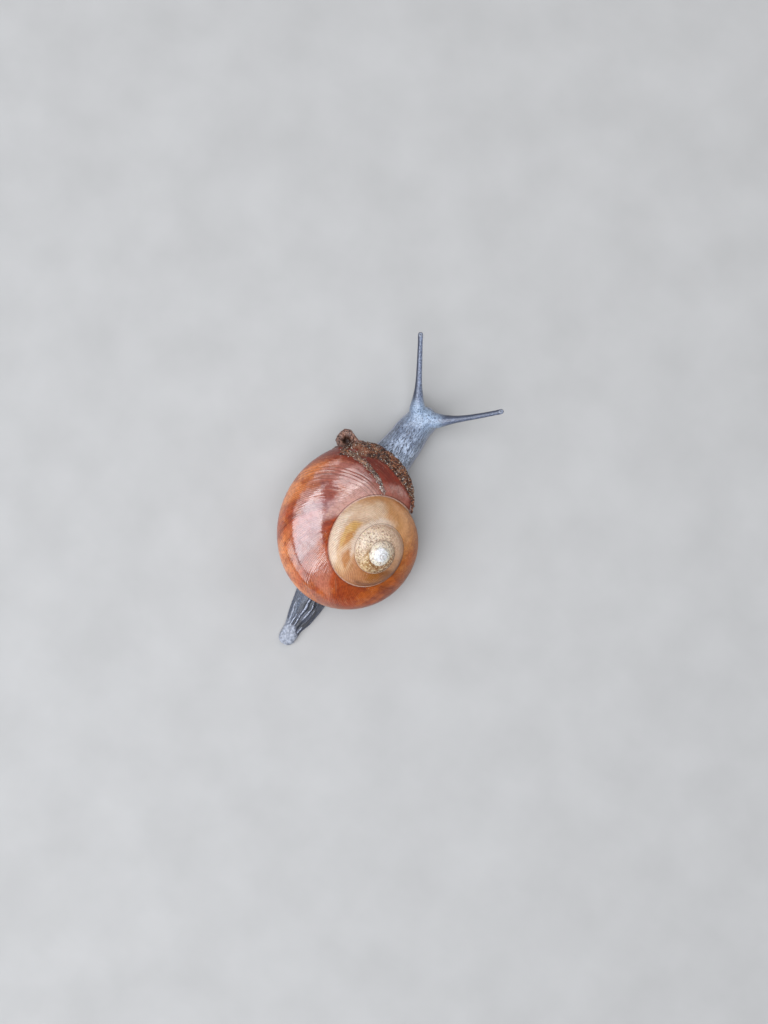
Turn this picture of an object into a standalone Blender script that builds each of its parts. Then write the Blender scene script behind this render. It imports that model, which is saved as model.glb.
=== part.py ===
"""Land snail at life size, crawling with its neck and feelers stretched out.

The snail rests on its sole at z = 0. The head points to -Y, its left side to +X, and the
origin is on the sole under the shell. The shell coils to the right and leans over that side.
Every sub-part is a closed solid of its own, with a narrow gap to its neighbours.
"""
import math

import bmesh
import bpy
from mathutils import Matrix, Vector

MM = 0.001
DEG = math.pi / 180

GAP = 0.3 * MM      # left between neighbouring solids
WELD = 0.001 * MM   # corners closer than this are one
SMOOTH = 50 * DEG   # edges flatter than this are shaded smooth

# Shell: a tube of elliptical section coiled round an axis, that grows evenly with every turn.
# Lengths marked "of radius" are in units of the distance from the axis to the section's centre.
MOUTH_RADIUS = 13.16 * MM  # that distance, at turn angle 0
TURN_RATIO = 1.8786        # growth in one whole turn
SECTION_LONG = 0.929       # half axes of the section, of radius
SECTION_SHORT = 0.718
SECTION_TILT = -16.1 * DEG
SECTION_DROP = 1.503       # section's centre below the apex, of radius
APEX = Vector((-10.9, 1.96, 23.4)) * MM
AXIS_LEAN = -29.4 * DEG    # towards the animal's right
AXIS_NOD = 1.0 * DEG
AXIS_SPIN = -103.5 * DEG

LIP_TURN = 16 * DEG        # turn angle where the lip leaves the suture
LIP_BAND = 17.5 * DEG      # width of the newest, crusted growth
LIP_WALL = 1.1 * MM
LIP_OVERLAP = 2 * DEG      # how far the lip is drawn under the shell before it is cut
LIP_START = 3 * DEG        # below the suture
LIP_END = -150 * DEG
LIP_COLUMNS = 22
LIP_ROWS = 4
LAG_RATE = 0.72            # slant of the growth lines below the suture
LAG_LIMIT = 82 * DEG
COLUMELLA = -178 * DEG     # where a section closes on the coiling axis

ROWS_TO_SUTURE = 48        # growth rows from a suture down to the one below it
SHELL_ROWS = 200           # about three and two thirds turns
BAND_COLUMNS = 6
BASE_COLUMNS = 17
APEX_SINK = 0.4 * MM

COLLAR_BACK = 24 * DEG     # the collar starts this far inside the shell, before it is cut
COLLAR_FRONT = 4 * DEG     # and stays this far inside the lip
COLLAR_START = 2 * DEG     # above the suture, inside the whorl before
COLLAR_END = -132 * DEG    # where it stops short of the columella
COLLAR_COLUMNS = 20
COLLAR_ROWS = 3
COLLAR_INSET = 0.44 * MM

LOBE_CENTRE = Vector((12.0, -17.6, 10.6)) * MM
LOBE_HALF = Vector((3.0, 2.5, 1.5)) * MM
LOBE_TURN = 45 * DEG
LOBE_CRUMPLE = 0.14
LOBE_FOLDS = 5             # folds over the lobe's length, in radians for half of it

# Soft body, tail to snout: y, centre x, half width, top, underside, all in mm
BODY = (
    (34.8, -0.3, 0.9, 1.2, 0.0),
    (34.3, -0.3, 1.7, 1.8, 0.0),
    (32.8, -0.3, 2.25, 2.3, 0.0),
    (30.0, -0.4, 2.4, 2.8, 0.0),
    (27.0, -0.5, 3.3, 3.3, 0.0),
    (21.0, -0.4, 4.25, 4.3, 0.0),
    (14.0, -0.2, 5.0, 4.8, 0.0),
    (6.0, 0.0, 5.5, 5.2, 0.0),
    (0.0, 0.1, 5.8, 6.2, 0.0),
    (-6.0, 0.2, 6.0, 10.5, 0.0),
    (-12.0, 0.1, 5.8, 12.0, 0.0),
    (-17.0, 0.0, 5.4, 10.0, 0.0),
    (-20.5, -0.1, 5.15, 8.5, 0.0),
    (-25.0, -0.8, 4.7, 7.7, 0.0),
    (-29.0, -1.1, 4.3, 7.3, 0.0),
    (-32.0, -1.8, 4.1, 7.4, 0.0),
    (-34.0, -2.1, 3.7, 7.0, 0.7),
    (-35.2, -2.15, 2.8, 6.2, 1.7),
    (-35.7, -2.2, 1.6, 5.2, 2.9),
)
# Half of the body's outline, sole to crest: share of half width, share of height
SECTION = (
    (0.45, 0.0), (0.86, 0.0), (1.0, 0.07), (1.0, 0.16), (0.90, 0.25),
    (0.93, 0.42), (0.87, 0.62), (0.69, 0.82), (0.38, 0.955),
)
BODY_RINGS = 44
END_BIAS = 0.45            # how strongly the rings crowd towards both ends
# Thin cuts across the body, tail to head, at these y in mm, and the lengths they leave
BODY_CUTS = (29.6, 19.5, 7.5, -6.5, -20.5, -30.3)
SLAB = 40 * MM             # side of a cutter that goes right across the body

FEELER_SIDES = 10
FEELER_STEPS = 22
LOWER_SIDES = 8
LOWER_STEPS = 5
FEELER_TIP = 0.52 * MM     # radius of an upper feeler near its end
FEELER_TAPER = 0.35 * MM
FEELER_FLARE = 1.1 * MM    # extra radius where it spreads into the head
FLARE_REACH = 5.0 * MM
BULB = 0.14 * MM
BULB_REACH = 1.1 * MM
EYE_RADIUS = 0.5 * MM
BASE_CUT = 4.0 * MM        # where an upper feeler is parted, from its root
SHAFT_CUT = 10.5 * MM
TIP_CUT = 2.2 * MM         # and from its end
LOWER_CUT = 2.6 * MM
CUT_MARGIN = 1.7           # a cutting disc's radius, of the feeler's own
# An upper feeler's curve: root inside the head, bend, and centre of the eye, in mm
UPPER_FEELERS = {
    "left": ((0.2, -32.6, 5.6), (3.6, -38.9, 10.0), (8.82, -48.1, 14.0)),
    "right": ((-4.2, -32.7, 5.6), (-9.6, -35.4, 9.2), (-17.4, -42.2, 13.0)),
}
LOWER_FEELERS = {
    "left": ((0.1, -33.2, 3.6), (1.1, -35.0, 3.0), (2.2, -36.8, 2.0)),
    "right": ((-4.3, -33.0, 3.6), (-5.9, -34.0, 3.0), (-7.5, -35.0, 2.0)),
}
LOWER_RADIUS = 0.45 * MM
LOWER_FLARE = 0.35 * MM

MOUTH_CENTRE = Vector((-2.15, -34.9, 1.75)) * MM
MOUTH_HALF = Vector((1.45, 0.8, 0.75)) * MM


# ---------------------------------------------------------------- helpers

def clear_scene():
    for old in list(bpy.data.objects):
        bpy.data.objects.remove(old, do_unlink=True)


def finish_of(name, color, roughness):
    """A skin or shell finish: one Principled shader."""
    finish = bpy.data.materials.new(name)
    finish.use_nodes = True
    shader = finish.node_tree.nodes["Principled BSDF"]
    shader.inputs["Base Color"].default_value = (*color, 1)
    shader.inputs["Roughness"].default_value = roughness
    shader.inputs["Metallic"].default_value = 0
    return finish


def add_object(name, bm, finish=None):
    """Turns a bmesh into a named object, faces outwards, shaded smooth."""
    bmesh.ops.recalc_face_normals(bm, faces=bm.faces)
    mesh = bpy.data.meshes.new(name)
    bm.to_mesh(mesh)
    bm.free()
    mesh.shade_smooth()
    mesh.set_sharp_from_angle(angle=SMOOTH)
    solid = bpy.data.objects.new(name, mesh)
    bpy.context.scene.collection.objects.link(solid)
    if finish:
        mesh.materials.clear()
        mesh.materials.append(finish)
    return solid


def bmesh_of(solid):
    bm = bmesh.new()
    bm.from_mesh(solid.data)
    return bm


def grown(solid, by=GAP):
    """A cutter: the solid with every side moved out by the clearance."""
    bm = bmesh_of(solid)
    bmesh.ops.recalc_face_normals(bm, faces=bm.faces)
    bm.normal_update()
    moves = [vert.normal * by for vert in bm.verts]
    for vert, move in zip(bm.verts, moves):
        vert.co += move
    return add_object(solid.name + "_clearance", bm)


def combine(solid, others, operation):
    """Joins or cuts a solid with others, which are used up."""
    for other in others:
        step = solid.modifiers.new(operation, "BOOLEAN")
        step.operation = operation
        step.solver = "EXACT"
        step.object = other
    bpy.context.view_layer.update()
    seen = solid.evaluated_get(bpy.context.evaluated_depsgraph_get())
    result = bpy.data.meshes.new_from_object(seen)
    solid.modifiers.clear()
    solid.data = result
    for other in others:
        bpy.data.objects.remove(other, do_unlink=True)


def close_fan(bm, loop):
    """Closes an open end round its middle."""
    hub = bm.verts.new(sum((vert.co for vert in loop), Vector()) / len(loop))
    for k, vert in enumerate(loop):
        bm.faces.new((vert, loop[(k + 1) % len(loop)], hub))


def loft(rings, close_end=close_fan):
    """Skins closed rings of equal length and closes both ends."""
    bm = bmesh.new()
    loops = [[bm.verts.new(point) for point in ring] for ring in rings]
    sides = len(rings[0])
    for near, far in zip(loops, loops[1:]):
        for k in range(sides):
            after = (k + 1) % sides
            bm.faces.new((near[k], near[after], far[after], far[k]))
    close_end(bm, loops[0])
    close_end(bm, loops[-1])
    return bm


def steps_between(first, last, count):
    return [first + (last - first) * k / count for k in range(count + 1)]


def curve_point(bend, share):
    """A point on the quadratic curve through a root, a bend and an end."""
    root, middle, end = (Vector(point) * MM for point in bend)
    return root * (1 - share) ** 2 + middle * 2 * share * (1 - share) + end * share ** 2


def curve_direction(bend, share):
    root, middle, end = (Vector(point) for point in bend)
    return ((middle - root) * (1 - share) + (end - middle) * share).normalized()


def curve_length(bend):
    points = [curve_point(bend, share) for share in steps_between(0, 1, 40)]
    return sum((b - a).length for a, b in zip(points, points[1:]))


def tube(bend, radius_at, steps, sides, last=1.0):
    """A round tube along a curve, up to a share of its length."""
    rings = []
    for share in steps_between(0, last, steps):
        forward = curve_direction(bend, share)
        side = forward.cross(Vector((0, 0, 1))).normalized()
        up = side.cross(forward)
        radius = radius_at(share)
        centre = curve_point(bend, share)
        turns = [2 * math.pi * j / sides for j in range(sides)]
        rings.append([centre + radius * (side * math.cos(a) + up * math.sin(a)) for a in turns])
    return loft(rings)


# ---------------------------------------------------------------- shell

def shell_pose():
    lean = Matrix.Rotation(AXIS_LEAN, 4, "Y")
    nod = Matrix.Rotation(AXIS_NOD, 4, "X")
    spin = Matrix.Rotation(AXIS_SPIN, 4, "Z")
    return Matrix.Translation(APEX) @ lean @ nod @ spin


POSE = shell_pose()


def section_at(angle, inset=0.0):
    """A point of the section, from the coiling axis and below the apex, of radius."""
    across = (SECTION_LONG - inset) * math.cos(angle)
    along = (SECTION_SHORT - inset) * math.sin(angle)
    out = 1 + across * math.cos(SECTION_TILT) - along * math.sin(SECTION_TILT)
    up = -SECTION_DROP + across * math.sin(SECTION_TILT) + along * math.cos(SECTION_TILT)
    return out, up


def angle_on_section(out, up):
    """Angle round the section and how far out of it a point lies, 1 being on its edge."""
    dx = out - 1
    dz = up + SECTION_DROP
    across = (dx * math.cos(SECTION_TILT) + dz * math.sin(SECTION_TILT)) / SECTION_LONG
    along = (-dx * math.sin(SECTION_TILT) + dz * math.cos(SECTION_TILT)) / SECTION_SHORT
    return math.atan2(along, across), math.hypot(across, along)


def suture_angles():
    """Where a whorl touches the one before it, and the same place as seen on that one."""
    outside, inside = 60 * DEG, 150 * DEG
    for _ in range(50):
        middle = (outside + inside) / 2
        out, up = section_at(middle)
        angle, distance = angle_on_section(out * TURN_RATIO, up * TURN_RATIO)
        if distance > 1:
            outside = middle
        else:
            inside = middle
    return outside, angle


SUTURE, BELOW_SUTURE = suture_angles()


def lag(angle):
    """How far the growth line lies behind the suture, at an angle round the section."""
    return LAG_LIMIT * math.tanh(LAG_RATE * (SUTURE - angle) / LAG_LIMIT)


def whorl_point(turn, angle, wall=0.0):
    """A point of the growth line that leaves the suture at a turn angle."""
    turn -= lag(angle)
    radius = MOUTH_RADIUS * TURN_RATIO ** (turn / (2 * math.pi))
    out, up = section_at(angle, wall / radius)
    return POSE @ (Vector((out * math.cos(turn), -out * math.sin(turn), up)) * radius)


def shell():
    """The whole coil as one closed solid, cut off behind the crusted lip."""
    bm = bmesh.new()
    step = (2 * math.pi - lag(BELOW_SUTURE)) / ROWS_TO_SUTURE
    last_turn = LIP_TURN - LIP_BAND
    turns = [last_turn - step * (SHELL_ROWS - row) for row in range(SHELL_ROWS + 1)]
    band = steps_between(SUTURE, BELOW_SUTURE, BAND_COLUMNS)
    base = steps_between(BELOW_SUTURE, COLUMELLA, BASE_COLUMNS)[1:]
    whorl_start = SHELL_ROWS - ROWS_TO_SUTURE
    rows = []
    for row, turn in enumerate(turns):
        angles = band + (base if row >= whorl_start else [])
        points = [whorl_point(turn, angle) for angle in angles]
        verts = [bm.verts.new(point) for point in points[1:]]
        above = row - ROWS_TO_SUTURE
        shared = rows[above][BAND_COLUMNS] if above >= 0 else bm.verts.new(points[0])
        rows.append([shared] + verts)
    for near, far in zip(rows, rows[1:]):
        for k in range(min(len(near), len(far)) - 1):
            bm.faces.new((near[k], near[k + 1], far[k + 1], far[k]))
    close_apex(bm, rows)
    close_umbilicus(bm, rows[whorl_start:])
    close_mouth(bm, rows[-1], rows[whorl_start][BAND_COLUMNS:])
    return add_object("shell", bm, finish_of("shell_glossy_chestnut", (0.33, 0.085, 0.04), 0.18))


def close_apex(bm, rows):
    """A low cap over the first turn."""
    hub = bm.verts.new(POSE @ Vector((0, 0, -APEX_SINK)))
    rim = [row[0] for row in rows[:ROWS_TO_SUTURE + 1]]
    first = rows[0][::-1]
    loop = rim + first[1:]
    for a, b in zip(loop, loop[1:]):
        bm.faces.new((a, b, hub))


def close_umbilicus(bm, rows):
    """A small winding pit where the sections close on the axis."""
    rim = [row[-1] for row in rows]
    middle = POSE.inverted() @ ((rim[0].co + rim[-1].co) / 2)
    hub = bm.verts.new(POSE @ Vector((0, 0, middle.z)))
    for a, b in zip(rim, rim[1:]):
        bm.faces.new((a, b, hub))
    bm.faces.new((rim[-1], rim[0], hub))


def close_mouth(bm, lip, wall):
    """The end face, between the last growth line and the whorl it wraps."""
    count = len(lip) - 1
    across = [wall[round(k * (len(wall) - 1) / count)] for k in range(count + 1)]
    for k in range(count):
        corners = [lip[k], lip[k + 1], across[k + 1], across[k]]
        bm.faces.new(list(dict.fromkeys(corners)))


def close_ladder(bm, loop):
    """Closes the end of a folded strip, rung by rung from one side to the other."""
    last = len(loop) - 1
    for k in range(len(loop) // 2 - 1):
        bm.faces.new((loop[k], loop[k + 1], loop[last - 1 - k], loop[last - k]))


def shell_lip(shell_clearance):
    """The newest growth: a crusted band round the mouth, with a wall of its own."""
    angles = steps_between(SUTURE - LIP_START, LIP_END, LIP_COLUMNS)
    rings = []
    for turn in steps_between(LIP_TURN - LIP_BAND - LIP_OVERLAP, LIP_TURN, LIP_ROWS):
        outer = [whorl_point(turn, angle) for angle in angles]
        inner = [whorl_point(turn, angle, LIP_WALL) for angle in reversed(angles)]
        rings.append(outer + inner)
    crust = finish_of("crusted_brown_lip", (0.15, 0.085, 0.06), 0.6)
    lip = add_object("shell_lip", loft(rings, close_ladder), crust)
    lip_clearance = grown(lip)
    combine(lip, [copy_of(shell_clearance)], "DIFFERENCE")
    return lip, lip_clearance


def copy_of(solid):
    twin = solid.copy()
    twin.data = solid.data.copy()
    bpy.context.scene.collection.objects.link(twin)
    return twin


def crumple(ball):
    """Waves that cross each other over a unit ball, from about -1.6 to 1.6."""
    lengthwise = math.sin(LOBE_FOLDS * ball.x + 2 * ball.z)
    across = math.cos(LOBE_FOLDS * 0.8 * ball.y - 1)
    diagonal = math.sin(LOBE_FOLDS * (1.4 * ball.y + 0.6 * ball.x))
    return lengthwise * across + 0.6 * diagonal


def lip_lobe(shell_clearance, lip_clearance):
    """The crumpled flap that the lip throws out at the left front."""
    bm = bmesh.new()
    bmesh.ops.create_icosphere(bm, subdivisions=3, radius=1)
    turn = Matrix.Rotation(LOBE_TURN, 3, "Z")
    for vert in bm.verts:
        ball = vert.co * (1 + LOBE_CRUMPLE * crumple(vert.co))
        vert.co = LOBE_CENTRE + turn @ Vector(a * b for a, b in zip(ball, LOBE_HALF))
    lobe = add_object("lip_lobe", bm, finish_of("crumpled_brown_skin", (0.12, 0.075, 0.06), 0.65))
    combine(lobe, [copy_of(shell_clearance), copy_of(lip_clearance)], "DIFFERENCE")
    keep_largest(lobe)
    return lobe


def keep_largest(solid):
    """Drops the crumbs that a cut leaves beside the main body."""
    pieces = sorted(loose_pieces(solid), key=lambda piece: piece.calc_volume(signed=False))
    pieces[-1].to_mesh(solid.data)
    for piece in pieces:
        piece.free()


def mantle_collar(shell_clearance, lip_clearance, finish):
    """The fleshy ring that fills the shell's mouth inside the lip."""
    angles = steps_between(SUTURE + COLLAR_START, COLLAR_END, COLLAR_COLUMNS)
    first = LIP_TURN - LIP_BAND - COLLAR_BACK
    rings = []
    for turn in steps_between(first, LIP_TURN - COLLAR_FRONT, COLLAR_ROWS):
        rings.append([whorl_point(turn, angle, COLLAR_INSET) for angle in angles])
    collar = add_object("mantle_collar", loft(rings), finish)
    collar_clearance = grown(collar)
    combine(collar, [copy_of(shell_clearance), copy_of(lip_clearance)], "DIFFERENCE")
    keep_largest(collar)
    return collar_clearance


# ---------------------------------------------------------------- soft body

def smooth_between(table, place):
    """Reads a table sorted from high to low first column with a smooth curve through its rows."""
    last = len(table) - 2
    k = next((i for i in range(last) if place >= table[i + 1][0]), last)
    before, start, end, after = (table[min(max(j, 0), last + 1)] for j in (k - 1, k, k + 1, k + 2))
    span = end[0] - start[0]
    share = (place - start[0]) / span
    ease = share * share * (3 - 2 * share)
    values = []
    for c in range(1, len(start)):
        leave = (end[c] - before[c]) / (end[0] - before[0]) * span
        arrive = (after[c] - start[c]) / (after[0] - start[0]) * span
        bow = share * (1 - share) * ((1 - share) * leave - share * arrive)
        values.append(start[c] + (end[c] - start[c]) * ease + bow)
    return values


def body_ring(y):
    """One cross-section of the body: flat sole, foot margin, groove and rounded back."""
    centre, half, top, under = smooth_between(BODY, y)
    side = [(half * across, under + (top - under) * up) for across, up in SECTION]
    ring = [(0, under)] + side + [(0, top)] + [(-x, z) for x, z in reversed(side)]
    return [Vector((centre + x, y, z)) * MM for x, z in ring]


def body_places():
    """Ring places along the body, closer together towards its two ends."""
    first, last = BODY[0][0], BODY[-1][0]
    places = []
    for share in steps_between(0, 1, BODY_RINGS):
        eased = (1 - math.cos(math.pi * share)) / 2
        places.append(first + (last - first) * (share + END_BIAS * (eased - share)))
    return places


def upper_radius(bend):
    """The radius of an upper feeler, as a function of the share of its length."""
    length = curve_length(bend)

    def radius(share):
        flare = math.exp(-((share * length / FLARE_REACH) ** 2))
        bulb = math.exp(-(((1 - share) * length / BULB_REACH) ** 2))
        return FEELER_TIP + FEELER_TAPER * (1 - share) + FEELER_FLARE * flare + BULB * bulb

    return radius


def lower_radius(share):
    return LOWER_RADIUS + LOWER_FLARE * (1 - share) ** 2


def disc(bend, share, radius_at):
    """A thin round cutter across a feeler, wider than the feeler is there."""
    radius = CUT_MARGIN * radius_at(share)
    bm = bmesh.new()
    bmesh.ops.create_cone(bm, cap_ends=True, segments=16, radius1=radius, radius2=radius, depth=GAP)
    turn = curve_direction(bend, share).to_track_quat("Z", "Y").to_matrix().to_4x4()
    place = Matrix.Translation(curve_point(bend, share)) @ turn
    bmesh.ops.transform(bm, matrix=place, verts=bm.verts)
    return add_object("feeler_cut", bm)


def slab(y):
    """A thin upright cutter right across the body."""
    bm = bmesh.new()
    place = Matrix.Translation((0, y * MM, 0)) @ Matrix.Diagonal((SLAB, GAP, SLAB, 1))
    bmesh.ops.create_cube(bm, size=1, matrix=place)
    return add_object("body_cut", bm)


def ellipsoid(name, centre, half, finish=None, rings=8, sides=14):
    bm = bmesh.new()
    bmesh.ops.create_uvsphere(bm, u_segments=sides, v_segments=rings, radius=1)
    bmesh.ops.scale(bm, vec=half, verts=bm.verts)
    bmesh.ops.translate(bm, vec=centre, verts=bm.verts)
    return add_object(name, bm, finish)


def soft_body(clearances, cuts):
    """Foot, neck, head and feelers in one piece, hollowed for the shell and cut into lengths."""
    flesh = add_object("flesh", loft([body_ring(y) for y in body_places()]))
    feelers = []
    for bend in UPPER_FEELERS.values():
        last = 1 - (EYE_RADIUS + GAP) / curve_length(bend)
        stalk = tube(bend, upper_radius(bend), FEELER_STEPS, FEELER_SIDES, last)
        feelers.append(add_object("feeler", stalk))
    for bend in LOWER_FEELERS.values():
        feelers.append(add_object("feeler", tube(bend, lower_radius, LOWER_STEPS, LOWER_SIDES)))
    combine(flesh, feelers, "UNION")
    combine(flesh, clearances, "DIFFERENCE")
    combine(flesh, cuts, "DIFFERENCE")
    return flesh


def body_cutters():
    cutters = [slab(y) for y in BODY_CUTS]
    for bend in UPPER_FEELERS.values():
        length = curve_length(bend)
        for distance in (BASE_CUT, SHAFT_CUT, length - TIP_CUT):
            cutters.append(disc(bend, distance / length, upper_radius(bend)))
    for bend in LOWER_FEELERS.values():
        cutters.append(disc(bend, LOWER_CUT / curve_length(bend), lower_radius))
    return cutters


def piece_anchors():
    """A point near the middle of each length that the cuts leave."""
    ends = [BODY[0][0], *BODY_CUTS, BODY[-1][0]]
    names = ("tail_tip", "tail", "foot_rear", "foot_middle", "foot_front", "neck", "head")
    anchors = {}
    for name, back, front in zip(names, ends, ends[1:]):
        middle = (back + front) / 2
        centre, _, top, under = smooth_between(BODY, middle)
        anchors[name] = Vector((centre, middle, (top + under) / 2)) * MM
    for side, bend in UPPER_FEELERS.items():
        length = curve_length(bend)
        marks = (BASE_CUT, SHAFT_CUT, length - TIP_CUT, length)
        for part, back, front in zip(("base", "shaft", "tip"), marks, marks[1:]):
            anchors[f"feeler_{side}_{part}"] = curve_point(bend, (back + front) / 2 / length)
    for side, bend in LOWER_FEELERS.items():
        share = (1 + LOWER_CUT / curve_length(bend)) / 2
        anchors[f"lower_feeler_{side}"] = curve_point(bend, share)
    return anchors


def connected_faces(first, done):
    """All the faces that hang together with the first one, in the order they are met."""
    found = [first]
    done[first.index] = True
    for face in found:
        for edge in face.edges:
            for other in edge.link_faces:
                if not done[other.index]:
                    done[other.index] = True
                    found.append(other)
    return found


def loose_pieces(solid):
    """Each separate body of a solid as a bmesh of its own."""
    whole = bmesh_of(solid)
    bmesh.ops.remove_doubles(whole, verts=whole.verts, dist=WELD)
    whole.faces.index_update()
    done = [False] * len(whole.faces)
    pieces = []
    for start in whole.faces:
        if done[start.index]:
            continue
        piece = bmesh.new()
        twins = {}
        for face in connected_faces(start, done):
            for vert in face.verts:
                if vert not in twins:
                    twins[vert] = piece.verts.new(vert.co)
            piece.faces.new([twins[vert] for vert in face.verts])
        pieces.append(piece)
    whole.free()
    return pieces


def part_flesh(flesh, finishes):
    """Names each length of the body after the anchor nearest to its middle."""
    anchors = piece_anchors()
    for piece in loose_pieces(flesh):
        low = Vector(min(vert.co[k] for vert in piece.verts) for k in range(3))
        high = Vector(max(vert.co[k] for vert in piece.verts) for k in range(3))
        middle = (low + high) / 2
        name = min(anchors, key=lambda key: (anchors[key] - middle).length)
        add_object(name, piece, finishes["tail" if "tail" in name else "skin"])
    bpy.data.objects.remove(flesh, do_unlink=True)


def main():
    clear_scene()
    skin = finish_of("slate_blue_skin", (0.24, 0.30, 0.40), 0.4)
    finishes = {"skin": skin, "tail": finish_of("dark_slate_tail", (0.16, 0.18, 0.24), 0.35)}
    coil = shell()
    coil_clearance = grown(coil)
    _, lip_clearance = shell_lip(coil_clearance)
    lip_lobe(coil_clearance, lip_clearance)
    mantle_finish = finish_of("mantle_skin", (0.17, 0.15, 0.16), 0.4)
    collar_clearance = mantle_collar(coil_clearance, lip_clearance, mantle_finish)
    mouth = ellipsoid("mouth", MOUTH_CENTRE, MOUTH_HALF, skin)
    clearances = [coil_clearance, lip_clearance, collar_clearance, grown(mouth)]
    flesh = soft_body(clearances, body_cutters())
    part_flesh(flesh, finishes)
    eye_finish = finish_of("dark_eye", (0.02, 0.02, 0.025), 0.15)
    for side, bend in UPPER_FEELERS.items():
        size = Vector((1, 1, 1)) * EYE_RADIUS
        ellipsoid(f"eye_{side}", Vector(bend[-1]) * MM, size, eye_finish, rings=6, sides=10)


main()
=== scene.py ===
"""Land snail at life size: ribbed shell, crusted lip and one moist skin, dressed over the solids.

The frame is the solids' own: sole at z = 0, head to -Y, the animal's left to +X, in metres.
The shell's curve is the one that the solids are made from, and the body follows their outline.
"""

import math
import random

import bmesh
import bpy
from mathutils import Matrix, Vector, noise


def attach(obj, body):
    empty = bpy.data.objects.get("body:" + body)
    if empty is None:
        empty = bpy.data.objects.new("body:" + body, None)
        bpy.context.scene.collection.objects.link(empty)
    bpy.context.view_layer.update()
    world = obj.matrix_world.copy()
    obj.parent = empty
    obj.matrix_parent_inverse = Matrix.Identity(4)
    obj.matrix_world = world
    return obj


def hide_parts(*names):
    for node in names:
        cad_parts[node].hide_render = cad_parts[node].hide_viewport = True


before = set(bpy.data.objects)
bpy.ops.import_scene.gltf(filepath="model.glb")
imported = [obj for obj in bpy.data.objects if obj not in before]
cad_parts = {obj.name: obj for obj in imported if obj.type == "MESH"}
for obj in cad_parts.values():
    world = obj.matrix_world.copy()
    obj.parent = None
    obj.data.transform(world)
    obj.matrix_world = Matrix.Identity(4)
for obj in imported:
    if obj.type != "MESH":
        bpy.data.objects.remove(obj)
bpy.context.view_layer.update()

MM = 0.001
DEG = math.pi / 180
WELD = 0.0001 * MM


def in_mm(*numbers):
    """A place, or a size along each axis, given in mm."""
    return Vector(numbers) * MM


# ---------------------------------------------------------------- shell: its curve, as the solids have it

MOUTH_RADIUS = 13.16 * MM  # from the coiling axis to the section's centre, at turn angle 0
TURN_RATIO = 1.8786        # growth in one whole turn
SECTION_LONG = 0.929       # half axes of the section, of its distance from the coiling axis
SECTION_SHORT = 0.718
SECTION_TILT = -16.1 * DEG
SECTION_DROP = 1.503       # its centre below the apex, of that distance
APEX = in_mm(-10.9, 1.96, 23.4)
AXIS_LEAN = -29.4 * DEG
AXIS_NOD = 1.0 * DEG
AXIS_SPIN = -103.5 * DEG
LIP_TURN = 16 * DEG        # turn angle where the lip leaves the suture
LAG_RATE = 0.72            # slant of the growth lines below the suture
LAG_LIMIT = 82 * DEG
COLUMELLA = -178 * DEG     # where a section closes on the coiling axis
GROWTH = math.log(TURN_RATIO)
WHORL = 2 * math.pi

# ---------------------------------------------------------------- shell: what only its looks need

# Values that the shell's mesh carries: whorls before the mouth, share of the section below the
# suture, ribs before the mouth, and depth of a rest mark
SHELL_LAYERS = ("turn", "drop", "rib", "rest")
RIBS_PER_WHORL = 205       # as closely as they stand at the mouth
ROWS_PER_RIB = 4
FIRST_TURN = -5.6 * WHORL
BASE_TURN = -0.84 * WHORL  # the last whorl's underside is drawn from here on
SHELL_END = LIP_TURN - 5 * DEG
SEAM_LAP = 1.5 * DEG       # how far a sheet reaches past the suture
SEAM_WELD = 0.005 * MM
SHELL_SINK = 0.14 * MM     # the plain coil lies this far inside, so that its relief has room
RIB_HEIGHT = 0.018 * MM
SWELL_HEIGHT = 0.10 * MM   # broad swellings at the mouth
SCUFF_HEIGHT = 0.025 * MM
WEAR_HEIGHT = 0.09 * MM    # roughness of the gritty old whorls
REST_DEPTH = 0.11 * MM
REST_SPREAD = 0.75         # half width of such a mark, in degrees
CRUST_BED = 0.3 * MM       # the shell lies this much lower under the lip's crust
SUTURE_THREAD = 0.05 * MM
RIBS_RISE = (-2.6, -1.4)   # whorls over which the ribs grow to their full height
GRITTY_FROM = (-3.2, -2.7)
GRITTY_TO = (-1.75, -2.1)
APEX_DOME = in_mm(2.1, 2.1, 0.85)
APEX_WORN = 0.76 * MM      # from the coil's very point down to the dome
APEX_RELIEF = 0.07 * MM
APEX_WHORLS = (-5.5, -3.5)  # whose colours the dome has, from its middle out
APEX_DROP = 0.1            # and which stretch below the suture
BLEACHED_SPOT = in_mm(-9.85, 1.83, 22.9)
BLEACHED_RADIUS = 1.75 * MM
BLEACHED_SOFT = 0.15 * MM
BLEACHED_RAGGED = 1.6 * MM
COLOR_START = -3.5         # the ramp of the shell's colours begins at this whorl
COLOR_SPAN = 3.6           # and runs over so many
# Marks where growth once rested: turn angle in degrees, and how deep each one is
RESTS = ((-30, 0.6), (-33.5, 0.5), (-37.5, 0.65), (-43, 0.45), (-104, 0.3), (-236, 0.25), (-412, 0.3))
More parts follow.
